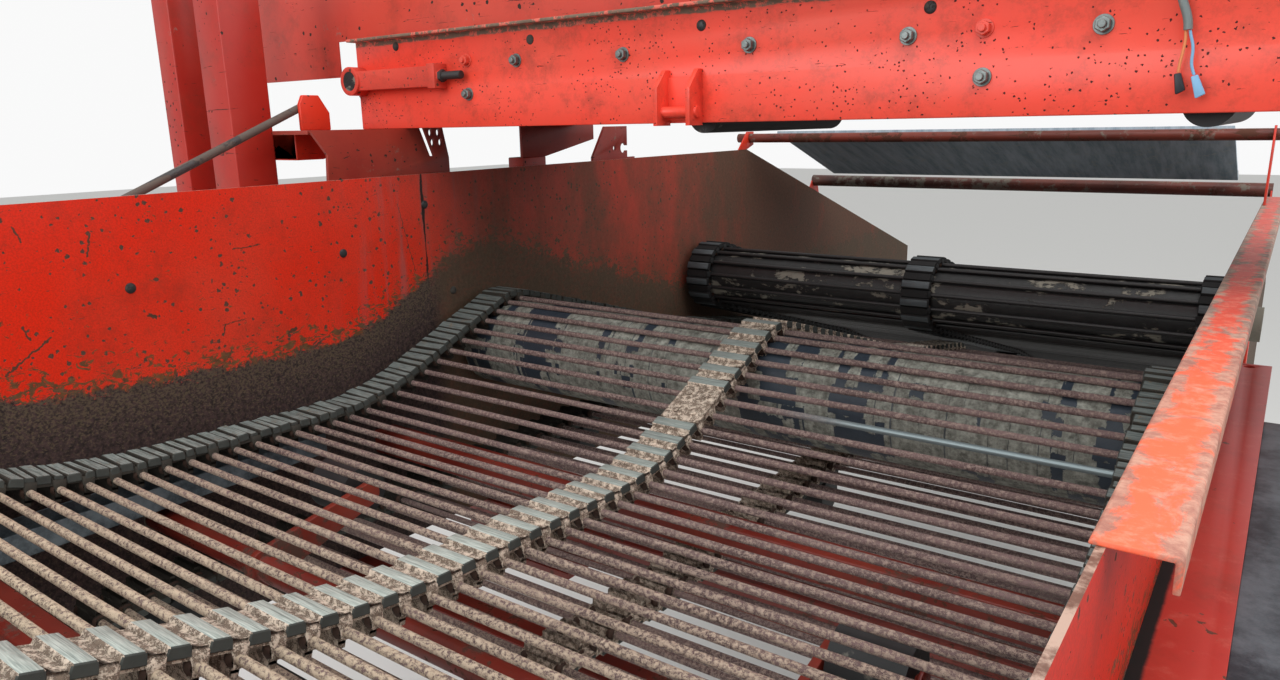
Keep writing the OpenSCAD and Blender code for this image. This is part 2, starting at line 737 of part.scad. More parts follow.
// Cable that hangs before the rear plate. Its routes' columns: x, y, z.
sheath_d = 10;
wire_d = 3.5;
cable_y = conveyor_rear - 14;
sheath_route = [for (p = [[659, 1158], [659, 1150], [660, 1142], [661.5, 1134], [664, 1126], [667, 1118],
    [669.5, 1110], [671, 1102], [671.5, 1096]]) [p[0], cable_y, p[1]]];
wire_left_route = [for (p = [[669.3, 1095.4], [669.8, 1090], [670, 1084], [669.6, 1078], [669, 1072],
    [668.2, 1066], [667.4, 1060], [666.8, 1054], [666.5, 1047.6]]) [p[0], cable_y, p[1]]];
wire_right_route = [for (p = [[673.7, 1095.4], [675, 1090], [676.8, 1084], [678.3, 1078], [679, 1072],
    [679, 1066], [679, 1060], [679.8, 1054], [681.4, 1049], [683.2, 1044]]) [p[0], cable_y, p[1]]];

function route_run(route, k) =
    let (run = route[min(k + 1, len(route) - 1)] - route[max(k - 1, 0)]) run / norm(run);
function ring(route, k, r, sides) =
    let (run = route_run(route, k), across_run = cross(run, [0, 1, 0]), u = across_run / norm(across_run),
        v = cross(run, u))
    [for (i = [0 : sides - 1]) route[k] + r * (cos(360 * i / sides) * u + sin(360 * i / sides) * v)];
// Tube swept along a route, with one ring of corners at each of its points
module swept_tube(route, d, sides) {
    last = len(route) - 1;
    polyhedron([for (k = [0 : last]) each ring(route, k, d / 2, sides)], [
        [for (i = [0 : sides - 1]) i],
        for (k = [0 : last - 1], i = [0 : sides - 1]) let (a = k * sides, j = (i + 1) % sides)
            each [[a + i, a + sides + i, a + sides + j], [a + i, a + sides + j, a + j]],
        [for (i = [sides - 1 : -1 : 0]) last * sides + i]]);
}
module cable_sheath() { color(steel_grey) swept_tube(sheath_route, sheath_d, 12); }
module cable_wire_left() { color(wire_orange) swept_tube(wire_left_route, wire_d, 8); }
module cable_wire_right() { color(pale_blue) swept_tube(wire_right_route, wire_d, 8); }

// Elbow that brings the cable through the plate and turns it down
module cable_gland() {
    elbow_r = 9;
    nozzle = 12;
    start = sheath_route[0];
    color(dark_rubber) {
        xz_bar(start[0], cable_y - elbow_r, conveyor_rear, start[2] + nozzle, elbow_r);
        translate([start[0], cable_y, start[2] + seat_gap])
            cylinder(r1 = sheath_d / 2 + 1, r2 = elbow_r - 1, h = nozzle - seat_gap);
    }
}

// Insulating sleeve of a wire's blade terminal; its corners are seen from the wire's end
module terminal_sleeve(route, corners) {
    thick = 8;
    rounding = 1.5;
    translate(route[len(route) - 1] + [0, thick / 2, 0]) rotate([90, 0, 0]) linear_extrude(thick)
        offset(r = rounding) offset(delta = -rounding) polygon(corners);
}
module cable_connector_left() {
    color(dark_rubber) terminal_sleeve(wire_left_route, [[-4, -1.5], [3, -0.3], [9.5, -20.5], [-0.5, -26]]);
}
module cable_connector_right() {
    color(pale_blue) terminal_sleeve(wire_right_route, [[-3, -2], [4, 0.5], [14, -22], [4, -27.5]]);
}

// Square tube standing on the rear cross beam
module post(x, side, top) {
    color(red) translate([x, post_y, beam_top]) linear_extrude(top - beam_top) difference() {
        square(side, center = true);
        square(side - 2 * tube_wall, center = true);
    }
}
stand_w = 50;
stand_l = 85;
stand_y = 155;
stand_foot = return_z + 70;
stand_top = conveyor_foot - 75;
module posts() {
    post(post_xs[0], post_s, post_top);
    post(post_xs[1], small_post_s, post_top);
    post(right_post_x, small_post_s, conveyor_foot);
    // Stand welded on the left panel's outside, over the return roller's housing
    translate([left_out - stand_w, stand_y, stand_foot]) linear_extrude(stand_top - stand_foot) difference() {
        square([stand_w, stand_l]);
        translate([tube_wall, tube_wall]) square([stand_w - 2 * tube_wall, stand_l - 2 * tube_wall]);
    }
}
arm_w = 120;
arm_h = 60;
// Arms under the conveyor: a short tapered one on the left, and one past both side plates on the right
module conveyor_arms() {
    arm_front = conveyor_front + 30;
    taper_front = conveyor_rear + 30;
    taper_rear = taper_front - 150;
    tip_h = 15;
    color(red) {
        difference() {
            across(post_xs[0], arm_w) polygon([
                [post_y + post_s / 2, conveyor_foot - arm_h], [taper_rear, conveyor_foot - arm_h],
                [taper_front, conveyor_foot - tip_h], [taper_front, conveyor_foot],
                [post_y + post_s / 2, conveyor_foot]]);
            across(post_xs[0] + tube_wall, arm_w - 2 * tube_wall) polygon([
                [post_y + post_s / 2 - 1, conveyor_foot - arm_h + tube_wall],
                [taper_rear - 2, conveyor_foot - arm_h + tube_wall],
                [taper_front - 3 * tip_h, conveyor_foot - tube_wall],
                [post_y + post_s / 2 - 1, conveyor_foot - tube_wall]]);
        }
        rail_y(right_post_x - small_post_s / 2, post_y + small_post_s / 2, arm_front,
            conveyor_foot - arm_h, small_post_s, arm_h);
    }
}
// Plates on the left panels' outside: the gusset of the left arm with its flange and perforated
// strip, the gusset on the front stand, and a notched plate
notch_y = 510;
module seat_plate() {
    seat_t = 8;
    seat_foot = left_top - 20;
    seat_rear = conveyor_rear - 235;
    strip_front = conveyor_rear + 115;
    notch_r = 14;
    color(red) {
        across(left_out - seat_t, seat_t) difference() {
            polygon([[seat_rear + 30, seat_foot], [seat_rear + 35, conveyor_foot - 48], [seat_rear, conveyor_foot],
                [strip_front - 14, conveyor_foot], [strip_front, conveyor_foot - 65], [strip_front, seat_foot]]);
            // slot beside the strip
            polygon([[strip_front - 80, conveyor_foot + 1], [strip_front - 66, conveyor_foot + 1],
                [strip_front - 42, conveyor_foot - 60], [strip_front - 55, conveyor_foot - 60]]);
            for (k = [0, 1], side = [0, 1])
                translate([strip_front - 49 + 22 * side + 5 * k, conveyor_foot - 10 - 21 * k])
                scale([0.7, 1]) circle(8);
        }
        translate([post_xs[0] + arm_w, seat_rear, conveyor_foot - seat_t])
            cube([left_out - post_xs[0] - arm_w - seat_t, strip_front - 90 - seat_rear, seat_t]);
        across(left_out - seat_t, seat_t) polygon([[stand_y, stand_top], [stand_y + stand_l, stand_top],
            [conveyor_front + 85, conveyor_foot - 37], [conveyor_front + 85, conveyor_foot],
            [stand_y, conveyor_foot]]);
        across(left_out - seat_t, seat_t) translate([notch_y, left_top]) difference() {
            polygon([[-80, -40], [110, -40], [110, 10], [75, 10], [75, conveyor_foot - left_top - clear],
                [-25, conveyor_foot - left_top - clear], [-80, 15]]);
            translate([58, 35]) circle(notch_r);
            translate([58, 35 - notch_r / 2]) square([30, notch_r]);
            translate([17, 36]) circle(notch_r / 2);
        }
    }
}

module bar_between(a, b, r) {
    d = b - a;
    translate(a) rotate([0, acos(d[2] / norm(d)), atan2(d[1], d[0])]) cylinder(r = r, h = norm(d));
}
stay_top = [conveyor_left - 5, -343, conveyor_foot + 49];
stay_foot = [left_out - 22, -1180, left_top - 175];
stay_r = 8;
lug_t = 10;
module stay_rod() {
    color(steel_grey) bar_between(stay_foot, stay_top, stay_r);
}
// Lugs that the stay rod's ends are bolted against: one on the left arm, one on the rear panel
module stay_lugs() {
    ear_h = stay_top[2] - conveyor_foot + 22;
    ear_l = 70;
    foot_lug = 60;
    foot_lug_t = 14;
    color(red) {
        across(stay_top[0] + stay_r + 3, lug_t) translate([stay_top[1] - 20, conveyor_foot])
            polygon([[0, 0], [ear_l, 0], [ear_l, ear_h / 2], [ear_l * 2 / 3, ear_h], [ear_l / 8, ear_h],
                [0, ear_h * 3 / 4]]);
        across(left_out - foot_lug_t, foot_lug_t)
            translate([stay_foot[1] - 3 * foot_lug / 4, stay_foot[2] - foot_lug / 2])
                square([foot_lug, foot_lug]);
    }
}

axle_r = 10;
wheel_y = -620;
wheel_z = 395;
pivot = shafts[agitator_row];
module agitator() {
    color(red) {
        round_bar(shaft_left, shaft_right - shaft_left, pivot[0], pivot[1], pivot[2]);
        for (side = [-1, 1]) {
            across(side * (beater_x - beater_w / 2 - clear) - (side > 0 ? arm_t : 0), arm_t) hull() {
                translate([pivot[0], pivot[1]]) circle(30);
                translate([wheel_y, wheel_z]) circle(20);
            }
            round_bar(side > 0 ? beater_x - beater_w / 2 - clear - arm_t : -beater_x - beater_w / 2 - 2 * clear,
                beater_w + 3 * clear + arm_t, wheel_y, wheel_z, axle_r);
            round_bar(side * (beater_x + beater_w / 2 + 1.5 * clear) - clear / 2, clear,
                wheel_y, wheel_z, 2 * axle_r);
        }
    }
}
module beater(x) {
    color(dark_rubber) across(x - beater_w / 2, beater_w) translate([wheel_y, wheel_z]) difference() {
        circle(beater_r);
        circle(axle_r + run_gap);
    }
}
module beater_wheel_left() { beater(-beater_x); }
module beater_wheel_right() { beater(beater_x); }

left_panel_rear();
left_panel_mid();
left_panel_front();
right_panel();
right_panel_front();
right_cap();
outer_rail();
side_skirt();
splice_straps();
side_rails();
cross_beams();
foot_plates();
feed_rails();
inner_cross_tubes();
edge_channel();
bearing_housings();
sieve_web_belts();
sieve_web_rods();
crest_drum();
drive_shaft();
drive_sprockets();
tail_roller();
return_rollers();
feed_web_belts();
feed_web_rods();
nose_drum();
feed_front_roller();
upper_cross_tube();
lower_cross_tube();
rubber_apron();
apron_strip();
tube_brackets();
conveyor_rear_plate();
conveyor_front_plate();
conveyor_hood();
conveyor_belt();
conveyor_rollers();
conveyor_bearings();
conveyor_idlers();
take_up();
clevis_bracket();
cable_gland();
cable_sheath();
cable_wire_left();
cable_wire_right();
cable_connector_left();
cable_connector_right();
posts();
conveyor_arms();
seat_plate();
stay_rod();
stay_lugs();
agitator();
beater_wheel_left();
beater_wheel_right();
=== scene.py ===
"""Looks of a potato harvester's sieving section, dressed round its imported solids.

Metres throughout: X across the machine to the right, Y forward along the webs, Z up, from the
chassis bolts' plane below the crest drum.
"""
import json
import math
import random

import bpy
from mathutils import Matrix, Vector

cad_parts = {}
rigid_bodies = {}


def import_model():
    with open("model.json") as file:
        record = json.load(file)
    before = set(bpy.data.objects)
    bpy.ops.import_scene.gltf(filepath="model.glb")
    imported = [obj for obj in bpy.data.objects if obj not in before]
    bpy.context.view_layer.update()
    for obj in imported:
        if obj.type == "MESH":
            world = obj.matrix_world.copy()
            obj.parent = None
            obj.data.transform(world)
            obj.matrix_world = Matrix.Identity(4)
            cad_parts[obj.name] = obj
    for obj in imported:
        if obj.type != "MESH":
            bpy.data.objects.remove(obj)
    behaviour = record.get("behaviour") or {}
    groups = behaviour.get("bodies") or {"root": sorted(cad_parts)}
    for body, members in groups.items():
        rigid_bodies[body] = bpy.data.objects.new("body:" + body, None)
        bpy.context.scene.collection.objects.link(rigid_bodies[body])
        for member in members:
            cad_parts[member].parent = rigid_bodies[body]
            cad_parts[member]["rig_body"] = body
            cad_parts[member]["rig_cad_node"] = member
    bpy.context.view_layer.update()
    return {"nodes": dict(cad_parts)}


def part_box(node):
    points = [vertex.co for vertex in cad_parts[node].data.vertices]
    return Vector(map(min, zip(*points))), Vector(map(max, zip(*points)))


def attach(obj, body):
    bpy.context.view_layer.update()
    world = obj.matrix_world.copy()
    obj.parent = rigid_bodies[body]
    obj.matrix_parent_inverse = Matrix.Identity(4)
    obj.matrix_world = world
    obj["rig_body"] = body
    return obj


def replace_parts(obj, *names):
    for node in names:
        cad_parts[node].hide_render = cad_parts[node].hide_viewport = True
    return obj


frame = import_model()
draws = random.Random(4524)

MM = 0.001
ROD_R = 5.5 * MM
BELT_W = 75 * MM
BELT_LOW = 5.6 * MM
BELT_HIGH = 12.6 * MM
CLEAT_H = 10 * MM
# Height over which only the webs' upper runs lie
UPPER_RUN_Z = 340 * MM
# Places along the web of the rubbed rod, which also carries a painted highlight, and of the middle belt's
# riveted joint
BRIGHT_ROD_Y = -195 * MM
BELT_JOINT_Y = -280 * MM
# Ground under the section when the machine stands
GROUND_Z = -750 * MM


# Colours

def srgb(red, green, blue):
    """Linear colour of a colour as it shows, 0 to 255."""
    def linear(shade):
        shade = shade / 255
        return shade / 12.92 if shade <= 0.04045 else ((shade + 0.055) / 1.055) ** 2.4
    return (linear(red), linear(green), linear(blue), 1.0)


FRESH_RED = srgb(212, 48, 24)
RUST_BROWN = srgb(88, 52, 38)
DARK_RUST = srgb(48, 34, 28)
CREAM_EARTH = srgb(186, 170, 144)
GREY_EARTH = srgb(122, 119, 108)
BLUE_BLACK = srgb(34, 42, 52)


# Shader helpers

def fill(tree, node, sockets):
    """Gives a node's inputs their values or links."""
    for name, value in sockets.items():
        if isinstance(value, bpy.types.NodeSocket):
            tree.links.new(value, node.inputs[name])
        else:
            node.inputs[name].default_value = value


def put(tree, kind, sockets=None, **settings):
    """Adds a node with its settings and inputs."""
    node = tree.nodes.new(kind)
    for name, value in settings.items():
        setattr(node, name, value)
    fill(tree, node, sockets or {})
    return node


def mixed(tree, share, first, second):
    """Colour between two others."""
    return put(tree, "ShaderNodeMix", {0: share, 6: first, 7: second}, data_type="RGBA").outputs[2]


def maths(tree, operation, *values):
    return put(tree, "ShaderNodeMath", dict(enumerate(values)), operation=operation).outputs[0]


def chained(tree, operation, values):
    """One value from several, by the same operation from each to the next."""
    result = values[0]
    for value in values[1:]:
        result = maths(tree, operation, result, value)
    return result


def times(tree, *values):
    return chained(tree, "MULTIPLY", values)


def plus(tree, *values):
    return chained(tree, "ADD", values)


def minus(tree, *values):
    return chained(tree, "SUBTRACT", values)


def highest(tree, *values):
    return chained(tree, "MAXIMUM", values)


def times_plus(tree, value, factor, addend):
    return maths(tree, "MULTIPLY_ADD", value, factor, addend)


def vector_maths(tree, operation, first, second):
    """Result of a vector operation. For SCALE the second is a factor."""
    second_input = "Scale" if operation == "SCALE" else 1
    node = put(tree, "ShaderNodeVectorMath", {0: first, second_input: second}, operation=operation)
    return node.outputs["Value" if operation in ("DOT_PRODUCT", "DISTANCE") else "Vector"]


def axes_of(tree, vector):
    """X, Y and Z of a vector, by name."""
    return put(tree, "ShaderNodeSeparateXYZ", {"Vector": vector}).outputs


def stepped(tree, value, low, high, to_low=0.0, to_high=1.0):
    """Smooth step of a value between two levels."""
    sockets = {"Value": value, "From Min": low, "From Max": high, "To Min": to_low, "To Max": to_high}
    return put(tree, "ShaderNodeMapRange", sockets, interpolation_type="SMOOTHSTEP").outputs[0]


def clouds(tree, place, scale, detail=4.0, roughness=0.55, distortion=0.0):
    """Cloudy noise from 0 to 1."""
    sockets = {"Vector": place, "Scale": scale, "Detail": detail, "Roughness": roughness,
               "Distortion": distortion}
    return put(tree, "ShaderNodeTexNoise", sockets).outputs["Fac"]


def shaken(tree, place, scale, detail, reach, middle=0.5):
    """Place moved about by noise, up to a reach."""
    noise = put(tree, "ShaderNodeTexNoise", {"Vector": place, "Scale": scale, "Detail": detail})
    shift = vector_maths(tree, "SUBTRACT", noise.outputs["Color"], (middle, middle, middle))
    return vector_maths(tree, "ADD", place, vector_maths(tree, "SCALE", shift, reach))


def stretched(tree, place, scale, turn=(0, 0, 0)):
    return put(tree, "ShaderNodeMapping", {"Vector": place, "Scale": scale, "Rotation": turn}).outputs[0]


def new_group(name, inputs, outputs):
    """Empty node group with named sockets; returns it with its inner ends."""
    tree = bpy.data.node_groups.new(name, "ShaderNodeTree")
    for way, sockets in (("INPUT", inputs), ("OUTPUT", outputs)):
        for label, kind in sockets:
            tree.interface.new_socket(name=label, in_out=way, socket_type="NodeSocket" + kind)
    return tree, put(tree, "NodeGroupInput").outputs, put(tree, "NodeGroupOutput").inputs


def use(tree, group, sockets):
    return put(tree, "ShaderNodeGroup", sockets, node_tree=group).outputs


def make_chipped_paint():
    """Paint with pits, flakes and scratches down to rust, thicker where Wear is high."""
    tree, given, out = new_group(
        "chipped_paint",
        [("Place", "Vector"), ("Paint", "Color"), ("Under", "Color"), ("Wear", "Float"), ("Pits", "Float")],
        [("Color", "Color"), ("Bare", "Float"), ("Height", "Float")])
    flakes = clouds(tree, given["Place"], 13.0, 10.0, 0.72, 0.4)
    limit = minus(tree, 0.80, times(tree, given["Wear"], 0.34))
    flaked = stepped(tree, minus(tree, flakes, limit), 0.0, 0.02)

    ragged = shaken(tree, given["Place"], 190.0, 2.0, 7 * MM)
    cells = put(tree, "ShaderNodeTexVoronoi", {"Vector": ragged, "Scale": 85.0, "Randomness": 1.0})
    lots = put(tree, "ShaderNodeSeparateColor", {"Color": cells.outputs["Color"]}).outputs
    cluster = stepped(tree, clouds(tree, given["Place"], 4.3, 4.0, 0.6), 0.42, 0.70, 0.12, 1.0)
    chance = times(tree, given["Pits"], cluster)
    chosen = maths(tree, "LESS_THAN", lots[0], chance)
    radius = times_plus(tree, maths(tree, "POWER", lots[1], 3.0), 0.26, 0.13)
    pit = stepped(tree, minus(tree, radius, cells.outputs["Distance"]), 0.0, 0.03)
    pit = times(tree, pit, chosen)

    lines = clouds(tree, stretched(tree, given["Place"], (5, 9, 60), (0.45, 0, 0)), 2.0, 4.0, 0.62, 1.8)
    scratch_limit = minus(tree, 0.69, times(tree, given["Wear"], 0.08))
    scratches = stepped(tree, minus(tree, lines, scratch_limit), 0.0, 0.01)
    bare = highest(tree, highest(tree, flaked, pit), scratches)

    fade = clouds(tree, given["Place"], 2.6, 6.0, 0.62)
    faded = mixed(tree, stepped(tree, fade, 0.35, 0.75, 0.0, 0.30), given["Paint"], srgb(202, 92, 70))
    grime = clouds(tree, given["Place"], 9.0, 10.0, 0.78)
    dirty = mixed(tree, stepped(tree, grime, 0.46, 0.74, 0.0, 0.45), faded, srgb(92, 50, 36))
    tree.links.new(mixed(tree, bare, dirty, given["Under"]), out["Color"])
    tree.links.new(bare, out["Bare"])
    height = times_plus(tree, bare, -1.0, times(tree, grime, 0.25))
    tree.links.new(height, out["Height"])
    return tree


def make_dried_earth():
    """Mask and height of dried earth: a thin film in places and grains all over."""
    tree, given, out = new_group(
        "dried_earth",
        [("Place", "Vector"), ("Scale", "Float"), ("Amount", "Float")],
        [("Mask", "Float"), ("Height", "Float")])
    film = clouds(tree, given["Place"], given["Scale"], 8.0, 0.66, 0.2)
    grain_scale = times(tree, given["Scale"], 5.2)
    grain = clouds(tree, given["Place"], grain_scale, 4.0, 0.7)
    both = plus(tree, times(tree, film, 0.55), times(tree, grain, 0.45))
    limit = minus(tree, 0.72, times(tree, given["Amount"], 0.42))
    mask = stepped(tree, minus(tree, both, limit), 0.0, 0.06)
    tree.links.new(mask, out["Mask"])
    tree.links.new(times(tree, mask, plus(tree, grain, 0.4)), out["Height"])
    return tree


CHIPPED_PAINT = make_chipped_paint()
DRIED_EARTH = make_dried_earth()


def new_material(name):
    """Material with an empty Principled shader; returns it, its tree, shader and Object place."""
    material = bpy.data.materials.new(name)
    material.use_nodes = True
    tree = material.node_tree
    shader = tree.nodes["Principled BSDF"]
    return material, tree, shader, put(tree, "ShaderNodeTexCoord").outputs["Object"]


def finish_shader(tree, shader, colour, roughness, height, bump, depth, metallic=0.0):
    """Feeds a shader with its colour, roughness and bump."""
    relief = put(tree, "ShaderNodeBump", {"Strength": bump, "Distance": depth, "Height": height})
    fill(tree, shader, {
        "Base Color": colour, "Roughness": roughness, "Metallic": metallic, "Specular IOR Level": 0.4,
        "Normal": relief.outputs[0]})


def red_paint(name, paint, wear, earth, pits=0.25, under=DARK_RUST, earth_colour=GREY_EARTH):
    """Painted steel of the frame: chips to rust and a film of dried earth."""
    material, tree, shader, place = new_material(name)
    sockets = {"Place": place, "Paint": paint, "Under": under, "Wear": wear, "Pits": pits}
    chipped = use(tree, CHIPPED_PAINT, sockets)
    soiled = use(tree, DRIED_EARTH, {"Place": place, "Scale": 7.0, "Amount": earth})
    colour = mixed(tree, times(tree, soiled["Mask"], 0.75), chipped["Color"], earth_colour)
    dull = highest(tree, chipped["Bare"], soiled["Mask"])
    rough = stepped(tree, dull, 0.0, 1.0, 0.40, 0.85)
    height = plus(tree, chipped["Height"], soiled["Height"])
    finish_shader(tree, shader, colour, rough, height, 0.6, 0.0006)
    return material


# Web lines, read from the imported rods

def rod_line(node):
    """Middles of a web's rods in running order, as (y, z), clockwise seen from the right."""
    corners = {(round(v.co.y, 5), round(v.co.z, 5)) for v in frame["nodes"][node].data.vertices}
    corners = sorted(corners)
    middles = []
    while corners:
        seed = corners[0]
        near = [c for c in corners if math.dist(c, seed) < 3 * ROD_R]
        corners = [c for c in corners if math.dist(c, seed) >= 3 * ROD_R]
        middles.append(Vector((sum(c[0] for c in near) / len(near), sum(c[1] for c in near) / len(near))))
    top = max(middles, key=lambda m: m.y)
    line = [top]
    middles.remove(top)
    line.append(min((m for m in middles if m.x > top.x), key=lambda m: (m - top).length))
    middles.remove(line[1])
    while middles:
        following = min(middles, key=lambda m: (m - line[-1]).length)
        line.append(following)
        middles.remove(following)
    return line


def rod_places(line):
    """(y, z, heading) of each rod."""
    count = len(line)
    places = []
    for k, middle in enumerate(line):
        run = line[(k + 1) % count] - line[k - 1]
        places.append((middle.x, middle.y, math.atan2(run.y, run.x)))
    return places


def cleat_places(line):
    """(y, z, heading) midway between each two rods."""
    count = len(line)
    places = []
    for k, middle in enumerate(line):
        following = line[(k + 1) % count]
        run = following - middle
        half = (middle + following) / 2
        places.append((half.x, half.y, math.atan2(run.y, run.x)))
    return places


SIEVE_LINE = rod_line("sieve_web_rods")
FEED_LINE = rod_line("feed_web_rods")
WEB_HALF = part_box("sieve_web_rods")[1].x
BELT_XS = (-(WEB_HALF - BELT_W / 2), 0.0, WEB_HALF - BELT_W / 2)


# Modelling helpers

def deselect():
    bpy.ops.object.select_all(action="DESELECT")


def select_only(piece):
    deselect()
    piece.select_set(True)
    bpy.context.view_layer.objects.active = piece


def linked(name, data):
    """New object in the scene."""
    piece = bpy.data.objects.new(name, data)
    bpy.context.scene.collection.objects.link(piece)
    return piece


def active_piece(name):
    piece = bpy.context.object
    piece.name = name
    return piece


def apply_place(piece):
    select_only(piece)
    bpy.ops.object.transform_apply(location=True, rotation=True, scale=True)


def apply_modifier(piece, kind, **settings):
    modifier = piece.modifiers.new(kind.lower(), kind)
    for name, value in settings.items():
        setattr(modifier, name, value)
    select_only(piece)
    bpy.ops.object.modifier_apply(modifier=modifier.name)


def bevelled(piece, width, segments=2, angle=30):
    apply_modifier(piece, "BEVEL", width=width, segments=segments, limit_method="ANGLE",
                   angle_limit=math.radians(angle))


def smoothed(piece, angle=35):
    select_only(piece)
    bpy.ops.object.shade_smooth_by_angle(angle=math.radians(angle))


def block(name, low, high, bevel):
    """Rounded block between two corners."""
    low = Vector(low)
    high = Vector(high)
    deselect()
    bpy.ops.mesh.primitive_cube_add(size=1, location=(low + high) / 2)
    piece = active_piece(name)
    piece.scale = high - low
    apply_place(piece)
    if bevel:
        bevelled(piece, bevel)
    return piece


def bar(name, start, end, radius, sides=24, bevel=0.0):
    """Round bar between two points."""
    start = Vector(start)
    end = Vector(end)
    deselect()
    bpy.ops.mesh.primitive_cylinder_add(vertices=sides, radius=radius, depth=(end - start).length)
    piece = active_piece(name)
    piece.rotation_euler = (end - start).to_track_quat("Z", "Y").to_euler()
    piece.location = (start + end) / 2
    apply_place(piece)
    if bevel:
        bevelled(piece, bevel)
    return piece


def joined(pieces, name):
    """Several pieces made one mesh."""
    deselect()
    for piece in pieces:
        piece.select_set(True)
    bpy.context.view_layer.objects.active = pieces[0]
    if len(pieces) > 1:
        bpy.ops.object.join()
    piece = pieces[0]
    piece.name = name
    apply_place(piece)
    return piece


def copies(model, matrices, name):
    """One piece from copies of a model, each with its own mesh."""
    pieces = []
    for matrix in matrices:
        mesh = model.data.copy()
        mesh.transform(matrix)
        pieces.append(linked(name, mesh))
    bpy.data.objects.remove(model)
    return joined(pieces, name)


def dressed(piece, body, material=None):
    """Gives a piece its finish, unless it has one, and lets it ride on its body."""
    if material:
        piece.data.materials.clear()
        piece.data.materials.append(material)
    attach(piece, body)
    return piece


def painted(node, material):
    """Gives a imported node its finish."""
    mesh = frame["nodes"][node].data
    mesh.materials.clear()
    mesh.materials.append(material)


def softened(node, name, width, material, body="root"):
    """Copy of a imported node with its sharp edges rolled, standing for the node."""
    piece = frame["nodes"][node].copy()
    piece.data = piece.data.copy()
    piece.parent = None
    bpy.context.scene.collection.objects.link(piece)
    piece.name = name
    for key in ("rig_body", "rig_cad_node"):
        del piece[key]
    select_only(piece)
    bpy.ops.object.mode_set(mode="EDIT")
    bpy.ops.mesh.select_all(action="SELECT")
    bpy.ops.mesh.remove_doubles(threshold=0.00002)
    bpy.ops.mesh.dissolve_limited(angle_limit=math.radians(0.5))
    bpy.ops.object.mode_set(mode="OBJECT")
    bevelled(piece, width, 2, 40)
    smoothed(piece)
    dressed(piece, body, material)
    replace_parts(piece, node)
    return piece


# Rod-link webs

def rod_material():
    """Rusty rods: purple-brown skin, cream earth in specks, more of it towards the rear end."""
    material, tree, shader, place = new_material("rusty_rods")
    axes = axes_of(tree, place)
    along = axes["Y"]
    tone = clouds(tree, place, 6.0, 6.0, 0.6)
    skin = mixed(tree, stepped(tree, tone, 0.3, 0.7), srgb(78, 60, 60), srgb(118, 96, 94))
    rear = stepped(tree, along, -0.35, -1.25)
    amount = times_plus(tree, rear, 0.10, 0.58)
    flecks = use(tree, DRIED_EARTH, {"Place": place, "Scale": 210.0, "Amount": amount})
    film = times_plus(tree, rear, 0.2, 0.12)
    earth = use(tree, DRIED_EARTH, {"Place": place, "Scale": 9.0, "Amount": film})
    colour = mixed(tree, flecks["Mask"], skin, mixed(tree, rear, srgb(146, 126, 118), srgb(192, 174, 150)))
    colour = mixed(tree, times(tree, earth["Mask"], 0.3), colour, CREAM_EARTH)
    # One rod of the upper run is painted lighter steel from x 0.1 outwards: partly polish from rubbing,
    # partly a painted highlight.
    bright_y = min((m.x for m in SIEVE_LINE if m.y > UPPER_RUN_Z), key=lambda y: abs(y - BRIGHT_ROD_Y))
    off = maths(tree, "ABSOLUTE", minus(tree, along, bright_y))
    on_rod = maths(tree, "LESS_THAN", off, 9 * MM)
    above = maths(tree, "GREATER_THAN", axes["Z"], UPPER_RUN_Z)
    polish_and_highlight = times(tree, on_rod, stepped(tree, axes["X"], 0.1, 0.3), above)
    colour = mixed(tree, polish_and_highlight, colour, srgb(118, 130, 132))
    rough = stepped(tree, polish_and_highlight, 0, 1, 0.76, 0.42)
    height = times_plus(tree, clouds(tree, place, 420.0, 3.0), 0.8, flecks["Height"])
    height = times(tree, height, minus(tree, 1.0, polish_and_highlight))
    finish_shader(tree, shader, colour, rough, height, 0.8, 0.0009, times(tree, polish_and_highlight, 0.6))
    return material


def dark_rod_material():
    """Rods of the feed web, black and a little polished."""
    material, tree, shader, place = new_material("dark_muddy_rods")
    soil = use(tree, DRIED_EARTH, {"Place": place, "Scale": 24.0, "Amount": 0.22})
    colour = mixed(tree, clouds(tree, place, 30.0, 6.0, 0.65), srgb(16, 16, 17), srgb(44, 42, 42))
    colour = mixed(tree, soil["Mask"], colour, srgb(78, 74, 70))
    finish_shader(tree, shader, colour, 0.42, soil["Height"], 0.5, 0.0008)
    return material


def bowed_rods(node, line, name, material):
    """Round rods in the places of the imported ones, each a little bowed between the belts."""
    deselect()
    bpy.ops.mesh.primitive_cylinder_add(vertices=12, radius=ROD_R, depth=2 * WEB_HALF - 4 * MM)
    model = active_piece(name)
    bpy.ops.object.mode_set(mode="EDIT")
    bpy.ops.mesh.select_all(action="SELECT")
    bpy.ops.transform.rotate(value=math.pi / 2, orient_axis="Y", center_override=(0, 0, 0))
    slices = 16
    for cut in range(1, slices):
        at = -WEB_HALF + cut * 2 * WEB_HALF / slices
        bpy.ops.mesh.select_all(action="SELECT")
        bpy.ops.mesh.bisect(plane_co=(at, 0, 0), plane_no=(1, 0, 0))
    bpy.ops.object.mode_set(mode="OBJECT")
    bevelled(model, 1.5 * MM, 1, 60)
    model.data.name = name
    pieces = []
    for y, z, heading in rod_places(line):
        mesh = model.data.copy()
        # bow forward and droop, each at the left and right of the middle belt
        bows = [draws.gauss(0, 1.1 * MM) for _ in range(4)]
        for vertex in mesh.vertices:
            half = 0 if vertex.co.x < 0 else 1
            arch = math.sin(math.pi * min(1.0, abs(vertex.co.x) / (WEB_HALF - BELT_W)))
            vertex.co.y += bows[half] * arch
            vertex.co.z += abs(bows[2 + half]) * -0.6 * arch
        mesh.transform(Matrix.Translation((0, y, z)) @ Matrix.Rotation(heading, 4, "X"))
        pieces.append(linked(name, mesh))
    bpy.data.objects.remove(model)
    piece = joined(pieces, name)
    smoothed(piece, 50)
    dressed(piece, "root", material)
    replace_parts(piece, node)


